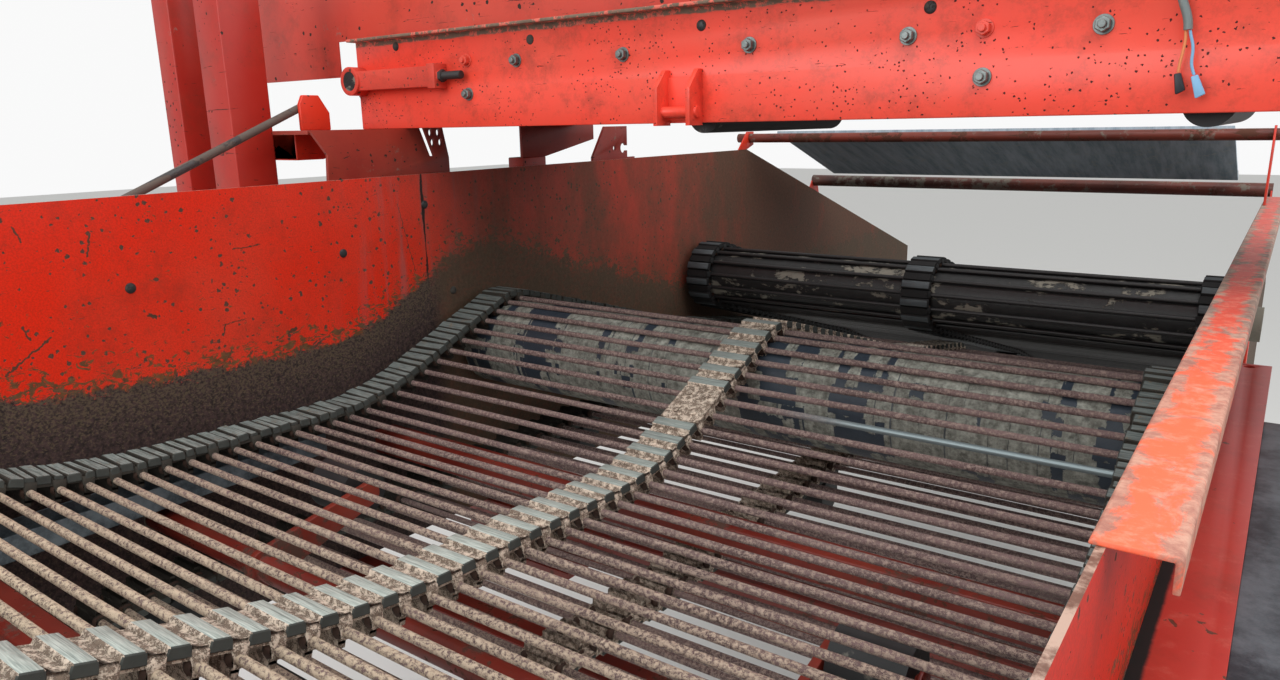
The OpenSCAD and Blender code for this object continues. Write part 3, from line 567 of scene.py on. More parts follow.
def with_finishes(piece, finishes, top_height=None):
    """Gives a model its finishes: the first all over, the second on top and the third on its ends."""
    for material in finishes:
        piece.data.materials.append(material)
    for face in piece.data.polygons:
        face.material_index = 0
        if top_height is not None and face.normal.z > 0.85 and face.center.z > top_height:
            face.material_index = 1
        elif top_height is not None and abs(face.normal.x) > 0.6:
            face.material_index = 2
    return piece


def cleat_model(finishes, foot=26 * MM, top_share=0.8, rise=CLEAT_H):
    """Raised cleat between two rods, with sloping flanks and chamfered ends."""
    deselect()
    bpy.ops.mesh.primitive_cube_add(size=1)
    cleat = active_piece("belt_cleat")
    cleat.scale = (BELT_W + 3 * MM, foot, rise + 3 * MM)
    cleat.location.z = BELT_HIGH + rise / 2 - 1.5 * MM
    apply_place(cleat)
    bpy.ops.object.mode_set(mode="EDIT")
    bpy.ops.mesh.select_mode(type="FACE")
    bpy.ops.mesh.select_all(action="DESELECT")
    bpy.ops.object.mode_set(mode="OBJECT")
    for face in cleat.data.polygons:
        face.select = face.normal.z > 0.9
    bpy.ops.object.mode_set(mode="EDIT")
    bpy.ops.transform.resize(value=(0.98, top_share, 1))
    bpy.ops.object.mode_set(mode="OBJECT")
    bevelled(cleat, 1.4 * MM, 1, 25)
    return with_finishes(cleat, finishes, BELT_HIGH + rise - 2 * MM)


def hump_model(finishes, rise=5.5 * MM):
    """Domed part of the belt over a rod, its ends turned down in front of the rod's socket."""
    deselect()
    bpy.ops.mesh.primitive_cube_add(size=1)
    hump = active_piece("belt_hump")
    hump.scale = (BELT_W - 6 * MM, 19 * MM, 4 * MM + rise)
    hump.location.z = BELT_HIGH - 3 * MM + rise / 2
    apply_place(hump)
    bpy.ops.object.mode_set(mode="EDIT")
    bpy.ops.mesh.select_mode(type="FACE")
    # outward and upward steps in millimetres, and how much each narrows
    steps = ((4.0, -1.5, 0.92), (2.5, -6.0, 0.85), (0.0, -9.0, 0.85))
    for side in (-1, 1):
        for step_x, step_z, squeeze in steps:
            bpy.ops.object.mode_set(mode="OBJECT")
            reach = max(side * face.center.x for face in hump.data.polygons)
            for face in hump.data.polygons:
                face.select = side * face.center.x > reach - 0.1 * MM
            bpy.ops.object.mode_set(mode="EDIT")
            bpy.ops.mesh.extrude_region_move(
                TRANSFORM_OT_translate={"value": (side * step_x * MM, 0, step_z * MM)})
            bpy.ops.transform.resize(value=(1, squeeze, 0.9))
    bpy.ops.object.mode_set(mode="OBJECT")
    bevelled(hump, 2 * MM, 1, 60)
    return with_finishes(hump, finishes)


def socket_model(finish):
    """Dark clip that holds a rod's length under the belt, open round the rod."""
    deselect()
    bpy.ops.mesh.primitive_torus_add(
        major_radius=ROD_R + 3 * MM, minor_radius=3 * MM, major_segments=10, minor_segments=4)
    ring = active_piece("rod_socket")
    ring.rotation_euler = (0, math.pi / 2, 0)
    ring.scale = (1, 1, 2.2)
    apply_place(ring)
    bpy.ops.object.mode_set(mode="EDIT")
    bpy.ops.mesh.select_all(action="SELECT")
    bpy.ops.mesh.bisect(plane_co=(0, 0, BELT_LOW), plane_no=(0, 0, 1), clear_outer=True, use_fill=True)
    bpy.ops.object.mode_set(mode="OBJECT")
    return with_finishes(ring, [finish])


def rivet_plate_model(finish):
    """Flat plate with four rivets that joins the belt's ends."""
    half_w = BELT_W / 2
    half_l = 44 * MM
    top = BELT_HIGH + 7 * MM
    pieces = [block("joint_plate", (-half_w, -half_l, BELT_HIGH), (half_w, half_l, top), 2 * MM)]
    for x in (-18 * MM, 18 * MM):
        for y in (-24 * MM, 24 * MM):
            pieces.append(bar("rivet", (x, y, top - 1 * MM), (x, y, top + 3 * MM), 6 * MM, 12, 1.5 * MM))
    return with_finishes(joined(pieces, "joint_plate"), [finish])


def earthy_belt_material(name, low, high, specks_colour, amount):
    """Belt under a crust of specks."""
    material, tree, shader, place = new_material(name)
    tone = mixed(tree, clouds(tree, place, 24.0, 6.0, 0.65), low, high)
    specks = use(tree, DRIED_EARTH, {"Place": place, "Scale": 125.0, "Amount": amount})
    colour = mixed(tree, specks["Mask"], tone, specks_colour)
    finish_shader(tree, shader, colour, 0.85, specks["Height"], 0.9, 0.0012)
    return material


def top_with_painted_sheen_material(name, low, high, amount):
    """Cleats' tops, rubbed clean and painted a lighter blue-grey that is partly painted sheen, with fine
    lines along them.
    """
    material, tree, shader, place = new_material(name)
    streaks = clouds(tree, stretched(tree, place, (5, 90, 90)), 7.0, 5.0, 0.6)
    lines = clouds(tree, stretched(tree, place, (2, 220, 220)), 1.6, 2.0, 0.5)
    # Painted sheen: this tone goes on the cleats' upward faces; it is partly rubbed rubber, partly painted
    # sheen.
    tone = mixed(tree, stepped(tree, streaks, 0.3, 0.72), low, high)
    tone = mixed(tree, stepped(tree, lines, 0.60, 0.66, 0.0, 0.5), tone, srgb(70, 76, 72))
    # Darker further forward along the web.
    darkened = stepped(tree, axes_of(tree, place)["Y"], -0.95, -0.15, 0.0, 0.55)
    tone = mixed(tree, darkened, tone, srgb(64, 70, 70))
    specks = use(tree, DRIED_EARTH, {"Place": place, "Scale": 60.0, "Amount": amount})
    colour = mixed(tree, times(tree, specks["Mask"], 0.8), tone, srgb(112, 98, 80))
    finish_shader(tree, shader, colour, 0.55, plus(tree, streaks, specks["Height"]), 0.4, 0.0006)
    return material


def socket_material():
    material, tree, shader, place = new_material("rod_socket_dirt")
    colour = mixed(tree, clouds(tree, place, 60.0, 5.0), srgb(34, 22, 17), srgb(74, 52, 40))
    finish_shader(tree, shader, colour, 0.8, clouds(tree, place, 300.0, 3.0), 0.6, 0.0006)
    return material


def standing_at(places, x):
    return [Matrix.Translation((x, y, z)) @ Matrix.Rotation(heading, 4, "X") for y, z, heading in places]


def jostled(spots):
    """Matrices shifted and turned a little, as on a worn belt."""
    moved = []
    for spot in spots:
        shift = Matrix.Translation((draws.uniform(-3, 3) * MM, 0, draws.uniform(-1.5, 0.5) * MM))
        turn = Matrix.Rotation(draws.uniform(-0.05, 0.05), 4, "Z")
        tilt = Matrix.Rotation(draws.uniform(-0.09, 0.09), 4, "X")
        moved.append(spot @ shift @ turn @ tilt)
    return moved


def belt_piece(line, name, x, finishes, flush=False, joint_y=None):
    """One belt of a web: base strip, humps over the rods and cleats between them.

    finishes are for the crust, the cleats' tops, their ends and the rods' sockets. A flush belt
    is worn so that humps and cleats lie level. joint_y is where a riveted plate joins the belt.
    """
    crust, top, end, socket = finishes
    raised = [crust, top, end]
    rods = rod_places(line)
    cleats = cleat_places(line)
    joint = []
    if joint_y is not None:
        upper = [place for place in cleats if place[1] > UPPER_RUN_Z]
        nearest = min(upper, key=lambda place: abs(place[0] - joint_y))
        first = cleats.index(nearest)
        second = cleats[(first + 1) % len(cleats)]
        joint = [rods[(first + 1) % len(rods)]]
        cleats = [place for place in cleats if place not in (nearest, second)]
    cleat_spots = standing_at(cleats, x)
    if flush:
        cleat_spots = jostled(cleat_spots)

    strip_w = BELT_W - 4 * MM
    strip_l = 41 * MM
    corners = (-strip_w / 2, -strip_l / 2, BELT_LOW), (strip_w / 2, strip_l / 2, BELT_HIGH)
    base = block("belt_base", *corners, 0)
    parts = [copies(with_finishes(base, [crust]), standing_at(cleat_places(line), x), "belt_strip")]
    if flush:
        parts.append(copies(cleat_model(raised, 22 * MM, 0.88), cleat_spots, "belt_cleats"))
        bridges = cleat_model(raised, 15 * MM, 0.86, 9 * MM)
        parts.append(copies(bridges, jostled(standing_at(rods, x)), "belt_bridges"))
    else:
        parts.append(copies(cleat_model(raised), cleat_spots, "belt_cleats"))
    parts.append(copies(hump_model([crust]), standing_at(rods, x), "belt_humps"))
    if joint:
        parts.append(copies(rivet_plate_model(crust), standing_at(joint, x), "belt_joint"))
    for side in (-1, 1):
        spots = standing_at(rods, x + side * (BELT_W / 2 - 5 * MM))
        parts.append(copies(socket_model(socket), spots, "belt_sockets"))
    piece = joined(parts, name)
    smoothed(piece, 40)
    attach(piece, "root")
    return piece


def build_webs():
    bowed_rods("sieve_web_rods", SIEVE_LINE, "sieve_rods", rod_material())
    bowed_rods("feed_web_rods", FEED_LINE, "feed_rods", dark_rod_material())
    socket = socket_material()
    # The cleats' ends get a dark grey finish: partly dirt, partly painted shade.
    # name, darkest, lightest and speck colours, and how much is specks
    end, crust, dull_crust, black_crust = (earthy_belt_material(*finish) for finish in (
        ("dark_cleat_end_dirt_and_shade", srgb(36, 38, 36), srgb(74, 78, 74), srgb(120, 112, 96), 0.22),
        ("speckled_belt_crust", srgb(88, 74, 64), srgb(138, 122, 106), srgb(206, 190, 172), 0.60),
        ("dull_belt_crust", srgb(28, 26, 23), srgb(62, 58, 50), srgb(104, 96, 82), 0.35),
        ("black_belt_crust", srgb(10, 10, 11), srgb(28, 28, 28), srgb(60, 60, 58), 0.2)))
    worn = top_with_painted_sheen_material("worn_cleat_top_painted_sheen", srgb(132, 143, 137), srgb(188, 197, 189), 0.14)
    dull = top_with_painted_sheen_material("dull_cleat_top_painted_sheen", srgb(86, 94, 91), srgb(158, 168, 163), 0.40)
    dark = top_with_painted_sheen_material("dark_cleat_top_painted_sheen", srgb(38, 42, 46), srgb(88, 96, 104), 0.20)
    dull_belt = (dull_crust, dull, end, socket)
    middle_belt = (crust, worn, end, socket)
    black_belt = (black_crust, dark, black_crust, socket)
    sides = ("left", "middle", "right")
    for side, x, finishes in zip(sides, BELT_XS, (dull_belt, middle_belt, dull_belt)):
        worn_flush = side != "middle"
        joint_y = None if worn_flush else BELT_JOINT_Y
        piece = belt_piece(SIEVE_LINE, "sieve_belt_" + side, x, finishes, worn_flush, joint_y)
        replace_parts(piece, "sieve_web_belts")
    for side, x in zip(sides, BELT_XS):
        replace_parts(belt_piece(FEED_LINE, "feed_belt_" + side, x, black_belt), "feed_web_belts")


# Trough walls

# Start and end of each scratch on the left wall, as (y, z), and its width, in millimetres
SCRATCHES = (
    ((-933, 697), (-1002, 652), 3.6), ((-958, 872), (-950, 849), 2.8), ((-854, 849), (-862, 815), 2.8),
    ((-968, 721), (-962, 700), 3.2), ((-650, 664), (-656, 645), 2.2), ((-650, 664), (-610, 668), 2.0),
    ((-618, 798), (-564, 800), 2.2), ((-780, 706), (-770, 700), 6.0), ((-525, 625), (-510, 630), 7.0),
    ((-240, 850), (-205, 700), 1.6))


def stroke(tree, place, start, end, width):
    """Mask of one scratch on the wall."""
    first = Vector((0, *start)) * MM
    span = Vector((0, *end)) * MM - first
    way = tuple(span.normalized())
    flat = vector_maths(tree, "MULTIPLY", place, (0, 1, 1))
    moved = vector_maths(tree, "SUBTRACT", flat, tuple(first))
    gone = highest(tree, vector_maths(tree, "DOT_PRODUCT", moved, way), 0.0)
    foot = vector_maths(tree, "SCALE", way, maths(tree, "MINIMUM", gone, span.length))
    off = vector_maths(tree, "DISTANCE", moved, foot)
    return stepped(tree, off, width * 0.6 * MM, width * 0.4 * MM)


def height_over_web(tree, axes):
    """How far a place lies over the sieving web's upper run."""
    low_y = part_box("sieve_web_rods")[0].y
    high_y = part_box("sieve_web_rods")[1].y
    sockets = {"Value": axes["Y"], "From Min": low_y, "From Max": high_y}
    along = put(tree, "ShaderNodeMapRange", sockets).outputs[0]
    curve = put(tree, "ShaderNodeFloatCurve", {"Value": along})
    upper = sorted((m.x, m.y) for m in SIEVE_LINE if m.y > UPPER_RUN_Z)
    points = curve.mapping.curves[0].points
    for k in range(0, len(upper), 5):
        at = ((upper[k][0] - low_y) / (high_y - low_y), upper[k][1])
        if k == 0:
            points[0].location = (0.0, at[1])
        points.new(*at)
    points[len(points) - 1].location = (1.0, upper[-1][1])
    curve.mapping.update()
    return minus(tree, axes["Z"], curve.outputs[0])


def wall_paint(tree, place, axes, height, inside):
    """Red with pits, and with chips that crowd together over the bare band."""
    near = times(tree, stepped(tree, height, 0.30, 0.10), inside)
    nearest = times(tree, stepped(tree, height, 0.21, 0.11), inside)
    wear = times_plus(tree, nearest, 0.52, times(tree, near, 0.22))
    wear = times_plus(tree, stepped(tree, axes["Y"], 0.15, 1.15), 0.25, wear)
    pits = times_plus(tree, near, 0.9, 2.3)
    under = mixed(tree, clouds(tree, place, 200.0, 4.0), srgb(44, 40, 32), srgb(84, 72, 56))
    sockets = {"Place": place, "Paint": srgb(226, 40, 10), "Under": under, "Wear": wear, "Pits": pits}
    chipped = use(tree, CHIPPED_PAINT, sockets)
    flecks = clouds(tree, stretched(tree, place, (1, 36, 60)), 1.0, 8.0, 0.74, 1.4)
    limit = minus(tree, 0.64, times(tree, nearest, 0.105), times(tree, near, 0.05))
    flecks = stepped(tree, minus(tree, flecks, limit), 0.0, 0.012)
    fresh = mixed(tree, clouds(tree, place, 90.0, 3.0), srgb(36, 32, 26), srgb(128, 100, 62))
    colour = mixed(tree, flecks, chipped["Color"], fresh)

    shaky = shaken(tree, place, 160.0, 4.0, 9 * MM, 0.0)
    scratched = highest(tree, *(stroke(tree, shaky, *scratch) for scratch in SCRATCHES))
    scratched = times(tree, scratched, maths(tree, "LESS_THAN", axes["X"], 0.0))
    colour = mixed(tree, scratched, colour, under)
    speckle = stepped(tree, clouds(tree, place, 330.0, 5.0, 0.75), 0.40, 0.66, 0.0, 0.42)
    colour = mixed(tree, speckle, colour, srgb(140, 40, 26))

    rub = clouds(tree, stretched(tree, place, (1, 14, 1.2)), 3.0, 5.0, 0.6)
    rub_ends = (stepped(tree, axes["Y"], -0.46, -0.26), stepped(tree, axes["Y"], 0.30, -0.10))
    rub = times(tree, stepped(tree, rub, 0.45, 0.75, 0.0, 0.55), *rub_ends)
    return mixed(tree, rub, colour, srgb(142, 96, 92)), chipped


def wall_painted_shade(tree, place, axes, height, inside):
    """Mask of painted shade that thickens towards the web's crest and over the feed web, stronger inside the
    trough.
    """
    shade_clouds = clouds(tree, stretched(tree, place, (1, 1.6, 0.8)), 5.0, 9.0, 0.68)
    low = times(tree, stepped(tree, axes["Y"], -0.30, -0.12), stepped(tree, height, 0.26, 0.04))
    forward = times(tree, stepped(tree, axes["Y"], 0.15, 1.15), 0.82)
    shade_ahead = times(tree, stepped(tree, axes["Y"], -0.52, 0.1), 0.62)
    painted_shade = times(tree, highest(tree, low, forward, shade_ahead), plus(tree, shade_clouds, 0.45))
    painted_shade = stepped(tree, painted_shade, 0.16, 0.80, 0.0, 0.95)
    return times(tree, painted_shade, stepped(tree, inside, 0, 1, 0.45, 1.0))


def torn_seam(tree, place, axes):
    """Mask of the left wall's seam, with paint torn off beside it."""
    off = maths(tree, "ABSOLUTE", minus(tree, axes["Y"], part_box("left_panel_rear")[1].y))
    torn = clouds(tree, stretched(tree, place, (1, 1, 0.22)), 60.0, 6.0, 0.7)
    seam = stepped(tree, times_plus(tree, torn, -20 * MM, off), -6.2 * MM, -7.4 * MM)
    return times(tree, seam, maths(tree, "LESS_THAN", axes["X"], 0.0))


def trough_wall_material():
    """Red walls, worn to dark steel in a band over the web, and darkened by painted shade towards its crest.
    """
    material, tree, shader, place = new_material("trough_wall_paint")
    axes = axes_of(tree, place)
    height = height_over_web(tree, axes)
    inner_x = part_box("left_panel_rear")[1].x
    inside = maths(tree, "LESS_THAN", maths(tree, "ABSOLUTE", axes["X"]), abs(inner_x) + 1 * MM)
    colour, chipped = wall_paint(tree, place, axes, height, inside)

    painted_shade = wall_painted_shade(tree, place, axes, height, inside)
    grain = clouds(tree, place, 120.0, 5.0, 0.7)
    # Painted shade: the walls turn brown-black where the shade mask is high.
    colour = mixed(tree, painted_shade, colour, mixed(tree, grain, srgb(44, 34, 28), srgb(104, 84, 64)))
    colour = mixed(tree, torn_seam(tree, place, axes), colour, srgb(38, 26, 22))

    ragged = clouds(tree, stretched(tree, place, (1, 1, 1.5)), 15.0, 10.0, 0.78, 0.5)
    band_edge = times_plus(tree, minus(tree, ragged, 0.5), 0.12, height)
    band = times(tree, stepped(tree, band_edge, 0.126, 0.116), stepped(tree, axes["Y"], -0.12, -0.18), inside)
    specks = clouds(tree, stretched(tree, place, (1, 1, 1.3)), 230.0, 4.0, 0.65)
    dusty = plus(tree, specks, stepped(tree, height, 0.0, 0.11, -0.05, 0.07))
    steel = mixed(tree, stepped(tree, grain, 0.35, 0.65), srgb(30, 20, 20), srgb(70, 52, 50))
    steel = mixed(tree, stepped(tree, dusty, 0.48, 0.66, 0.0, 0.62), steel, srgb(98, 84, 64))
    colour = mixed(tree, band, colour, steel)

    normal = put(tree, "ShaderNodeNewGeometry").outputs["Normal"]
    rim = maths(tree, "GREATER_THAN", axes_of(tree, normal)["Z"], 0.6)
    rim_chips = stepped(tree, clouds(tree, place, 40.0, 8.0, 0.75), 0.44, 0.62)
    colour = mixed(tree, rim, colour, mixed(tree, rim_chips, srgb(184, 158, 142), srgb(110, 84, 72)))

    dull = highest(tree, band, painted_shade, chipped["Bare"])
    rough = stepped(tree, dull, 0.0, 1.0, 0.30, 0.78)
    relief = times_plus(tree, grain, 0.3, times_plus(tree, band, -0.8, chipped["Height"]))
    finish_shader(tree, shader, colour, rough, relief, 0.5, 0.0008)
    return material


def build_trough():
    wall = trough_wall_material()
    for node in ("left_panel_rear", "left_panel_mid", "left_panel_front", "right_panel", "right_panel_front"):
        painted(node, wall)


# Frame, drums and the rest of the steelwork

def cap_material():
    """Cap whose long edges are rubbed through to grey-beige, with broken red along its middle."""
    material, tree, shader, place = new_material("rubbed_cap_paint")
    axes = axes_of(tree, place)
    low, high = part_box("right_cap")
    width = high.x - low.x
    off = maths(tree, "ABSOLUTE", minus(tree, axes["X"], (low.x + high.x) / 2))
    edge = stepped(tree, off, width * 0.10, width * 0.46, 0.0, 0.17)
    patches = clouds(tree, stretched(tree, place, (1.3, 1, 1.3)), 24.0, 9.0, 0.74, 0.6)
    rubbed = stepped(tree, plus(tree, patches, edge), 0.52, 0.66)
    near = stepped(tree, axes["Y"], -0.15, -0.75)
    rubbed = times(tree, rubbed, stepped(tree, near, 0, 1, 0.95, 0.75))
    paint = mixed(tree, near, srgb(206, 74, 58), srgb(240, 108, 74))
    mottle = clouds(tree, place, 60.0, 8.0, 0.74)
    paint = mixed(tree, stepped(tree, mottle, 0.48, 0.66, 0.0, 0.5), paint, srgb(232, 150, 126))
    bare = mixed(tree, stepped(tree, mottle, 0.35, 0.65), srgb(116, 106, 98), srgb(182, 158, 140))
    colour = mixed(tree, rubbed, paint, bare)
    height = minus(tree, mottle, rubbed)
    finish_shader(tree, shader, colour, stepped(tree, rubbed, 0, 1, 0.5, 0.7), height, 0.4, 0.0006)
    return material


def drum_mud_material():
    """Crest drum: pale mud scraped into rings, gone in squarish patches that stand in columns."""
    material, tree, shader, place = new_material("caked_drum_mud")
    axes = axes_of(tree, place)
    low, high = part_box("crest_drum")
    level = minus(tree, axes["Z"], (low.z + high.z) / 2)
    turn = maths(tree, "ARCTAN2", level, axes["Y"])
    wobble = minus(tree, clouds(tree, place, 45.0, 7.0, 0.75), 0.5)
    turn_step = times_plus(tree, wobble, 1.6, times(tree, turn, 3.8))
    across_step = times_plus(tree, wobble, 1.1, times(tree, axes["X"], 44.0))
    corner = {"X": maths(tree, "FLOOR", across_step), "Y": maths(tree, "FLOOR", turn_step)}
    cell = put(tree, "ShaderNodeCombineXYZ", corner).outputs[0]
    lot = put(tree, "ShaderNodeTexWhiteNoise", {"Vector": cell}, noise_dimensions="2D").outputs["Value"]
    sockets = {"W": axes["X"], "Scale": 7.0, "Detail": 3.0}
    column = put(tree, "ShaderNodeTexNoise", sockets, noise_dimensions="1D").outputs["Fac"]
    column = stepped(tree, column, 0.48, 0.62, 0.03, 0.80)
    patch = maths(tree, "LESS_THAN", lot, column)
    rings = clouds(tree, stretched(tree, place, (42, 0.8, 0.8)), 2.4, 5.0, 0.65)
    scraped = stepped(tree, rings, 0.60, 0.64, 0.0, 0.8)
    bare = highest(tree, patch, scraped)
    grain = clouds(tree, place, 70.0, 9.0, 0.74)
    mud = mixed(tree, stepped(tree, grain, 0.3, 0.7), srgb(78, 78, 72), srgb(156, 158, 148))
    mud = mixed(tree, stepped(tree, rings, 0.3, 0.55, 0.35, 0.0), mud, srgb(78, 76, 68))
    wet = mixed(tree, grain, srgb(26, 34, 44), srgb(58, 68, 78))
    colour = mixed(tree, bare, mud, wet)
    height = times_plus(tree, bare, -1.3, grain)
    finish_shader(tree, shader, colour, stepped(tree, bare, 0, 1, 0.85, 0.45), height, 0.7, 0.0018)
    return material


def mud_material(name, mud, under, amount, scale=5.0, rings_share=0.5):
    """Dried mud that has come off in ragged patches, with rings scraped round."""
    material, tree, shader, place = new_material(name)
    rings = clouds(tree, stretched(tree, place, (16, 0.7, 0.7)), 3.0, 4.0, 0.6)
    crust = clouds(tree, stretched(tree, place, (0.6, 1, 1)), scale, 9.0, 0.7, 0.3)
    crust = times(tree, crust, 1 - rings_share)
    both = times_plus(tree, rings, rings_share, crust)
    mask = stepped(tree, minus(tree, both, 0.62 - 0.25 * amount), 0.0, 0.03)
    grain = clouds(tree, place, 55.0, 8.0, 0.72)
    mud_tone = mixed(tree, grain, mixed(tree, 0.5, mud, (0.02, 0.02, 0.02, 1)), mud)
    under_tone = mixed(tree, grain, under, mixed(tree, 0.10, under, (0.3, 0.3, 0.3, 1)))
    colour = mixed(tree, mask, under_tone, mud_tone)
    height = times_plus(tree, mask, 1.2, grain)
    finish_shader(tree, shader, colour, stepped(tree, mask, 0, 1, 0.42, 0.85), height, 0.7, 0.0016)
    return material


def conveyor_plate_material():
    """Conveyor's side plates: pits in clusters, and a rusty folded lip along the top."""
    material, tree, shader, place = new_material("conveyor_plate_paint")
    finer = stretched(tree, place, (1.9, 1.9, 1.9))
    paint = srgb(238, 74, 56)
    sockets = {"Place": finer, "Paint": paint, "Under": srgb(70, 24, 20), "Wear": 0.0, "Pits": 0.6}
    chipped = use(tree, CHIPPED_PAINT, sockets)
    lip_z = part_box("conveyor_rear_plate")[1].z - 11 * MM
    wavy = times_plus(tree, clouds(tree, place, 22.0, 7.0, 0.7), 12 * MM, axes_of(tree, place)["Z"])
    lip = stepped(tree, wavy, lip_z, lip_z + 3 * MM)
    grain = clouds(tree, place, 42.0, 8.0, 0.72)
    rust = mixed(tree, grain, srgb(72, 56, 46), srgb(142, 124, 106))
    pink = stepped(tree, clouds(tree, place, 60.0, 8.0, 0.75), 0.52, 0.56)
    rust = mixed(tree, pink, rust, srgb(214, 108, 92))
    colour = mixed(tree, lip, chipped["Color"], rust)
    rough = stepped(tree, highest(tree, lip, chipped["Bare"]), 0, 1, 0.36, 0.8)
    height = times_plus(tree, lip, grain, chipped["Height"])
    finish_shader(tree, shader, colour, rough, height, 0.5, 0.0007)
    return material


def grey_steel_material():
    material, tree, shader, place = new_material("speckled_grey_steel")
    blotches = stepped(tree, clouds(tree, place, 13.0, 9.0, 0.74), 0.35, 0.65)
    tone = mixed(tree, blotches, srgb(48, 56, 62), srgb(104, 114, 120))
    specks = use(tree, DRIED_EARTH, {"Place": place, "Scale": 30.0, "Amount": 0.18})
    colour = mixed(tree, specks["Mask"], tone, srgb(44, 42, 40))
    finish_shader(tree, shader, colour, 0.5, specks["Height"], 0.4, 0.0006, 0.2)
    return material


def rubber_material(name, dust):
    material, tree, shader, place = new_material(name)
    film = use(tree, DRIED_EARTH, {"Place": place, "Scale": 8.0, "Amount": dust})
    tone = mixed(tree, clouds(tree, place, 18.0, 6.0), srgb(22, 23, 24), srgb(52, 54, 55))
    colour = mixed(tree, times(tree, film["Mask"], 0.6), tone, srgb(120, 118, 108))
    finish_shader(tree, shader, colour, 0.6, film["Height"], 0.4, 0.0008)
    return material


def rail_with_painted_gap_material():
    """Rail beside the cap: deep red, with a black strip along the panel that is painted shade standing for
    the dark gap between rail and panel.
    """
    material, tree, shader, place = new_material("rail_paint_with_painted_gap_shade")
    sockets = {"Place": place, "Paint": srgb(168, 44, 38), "Under": RUST_BROWN, "Wear": 0.0, "Pits": 0.12}
    chipped = use(tree, CHIPPED_PAINT, sockets)
    dust = clouds(tree, place, 34.0, 9.0, 0.76)
    colour = mixed(tree, stepped(tree, dust, 0.52, 0.70, 0.0, 0.45), chipped["Color"], srgb(190, 104, 90))
    # Painted shade: a black strip on the rail's edge next to the panel, for the shadowed gap between them.
    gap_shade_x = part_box("outer_rail")[0].x + 11 * MM
    wavy = times_plus(tree, dust, 4 * MM, axes_of(tree, place)["X"])
    seam = stepped(tree, wavy, gap_shade_x + 4 * MM, gap_shade_x)
    colour = mixed(tree, seam, colour, srgb(18, 14, 13))
    finish_shader(tree, shader, colour, stepped(tree, seam, 0, 1, 0.42, 0.9), chipped["Height"], 0.4, 0.0006)
    return material


def take_up_material():
    """Take-up: dusty red box with a dark threaded bolt at its right end."""
    material, tree, shader, place = new_material("take_up_paint")
    sockets = {"Place": place, "Paint": srgb(206, 60, 46), "Under": RUST_BROWN, "Wear": 0.2, "Pits": 1.0}
    chipped = use(tree, CHIPPED_PAINT, sockets)
    grime = use(tree, DRIED_EARTH, {"Place": place, "Scale": 90.0, "Amount": 0.35})
    colour = mixed(tree, grime["Mask"], chipped["Color"], srgb(112, 62, 52))
    low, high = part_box("take_up")
    bolt_x = low.x + (high.x - low.x) * 0.84
    bolt = maths(tree, "GREATER_THAN", axes_of(tree, place)["X"], bolt_x)
    colour = mixed(tree, bolt, colour, srgb(46, 42, 42))
    finish_shader(tree, shader, colour, 0.55, chipped["Height"], 0.5, 0.0006)
    return material


def apron_material():
    """Rubber flap between the cross tubes: blue-grey under dust that has run down it."""
    material, tree, shader, place = new_material("dusty_apron")
    runs = clouds(tree, stretched(tree, place, (26, 3, 3)), 1.6, 7.0, 0.7)
    spots = clouds(tree, place, 34.0, 8.0, 0.72)
    tone = mixed(tree, stepped(tree, runs, 0.3, 0.7), srgb(124, 146, 160), srgb(176, 192, 202))
    colour = mixed(tree, stepped(tree, spots, 0.52, 0.66, 0.0, 0.5), tone, srgb(172, 176, 170))
    finish_shader(tree, shader, colour, 0.62, spots, 0.3, 0.0006)
    return material


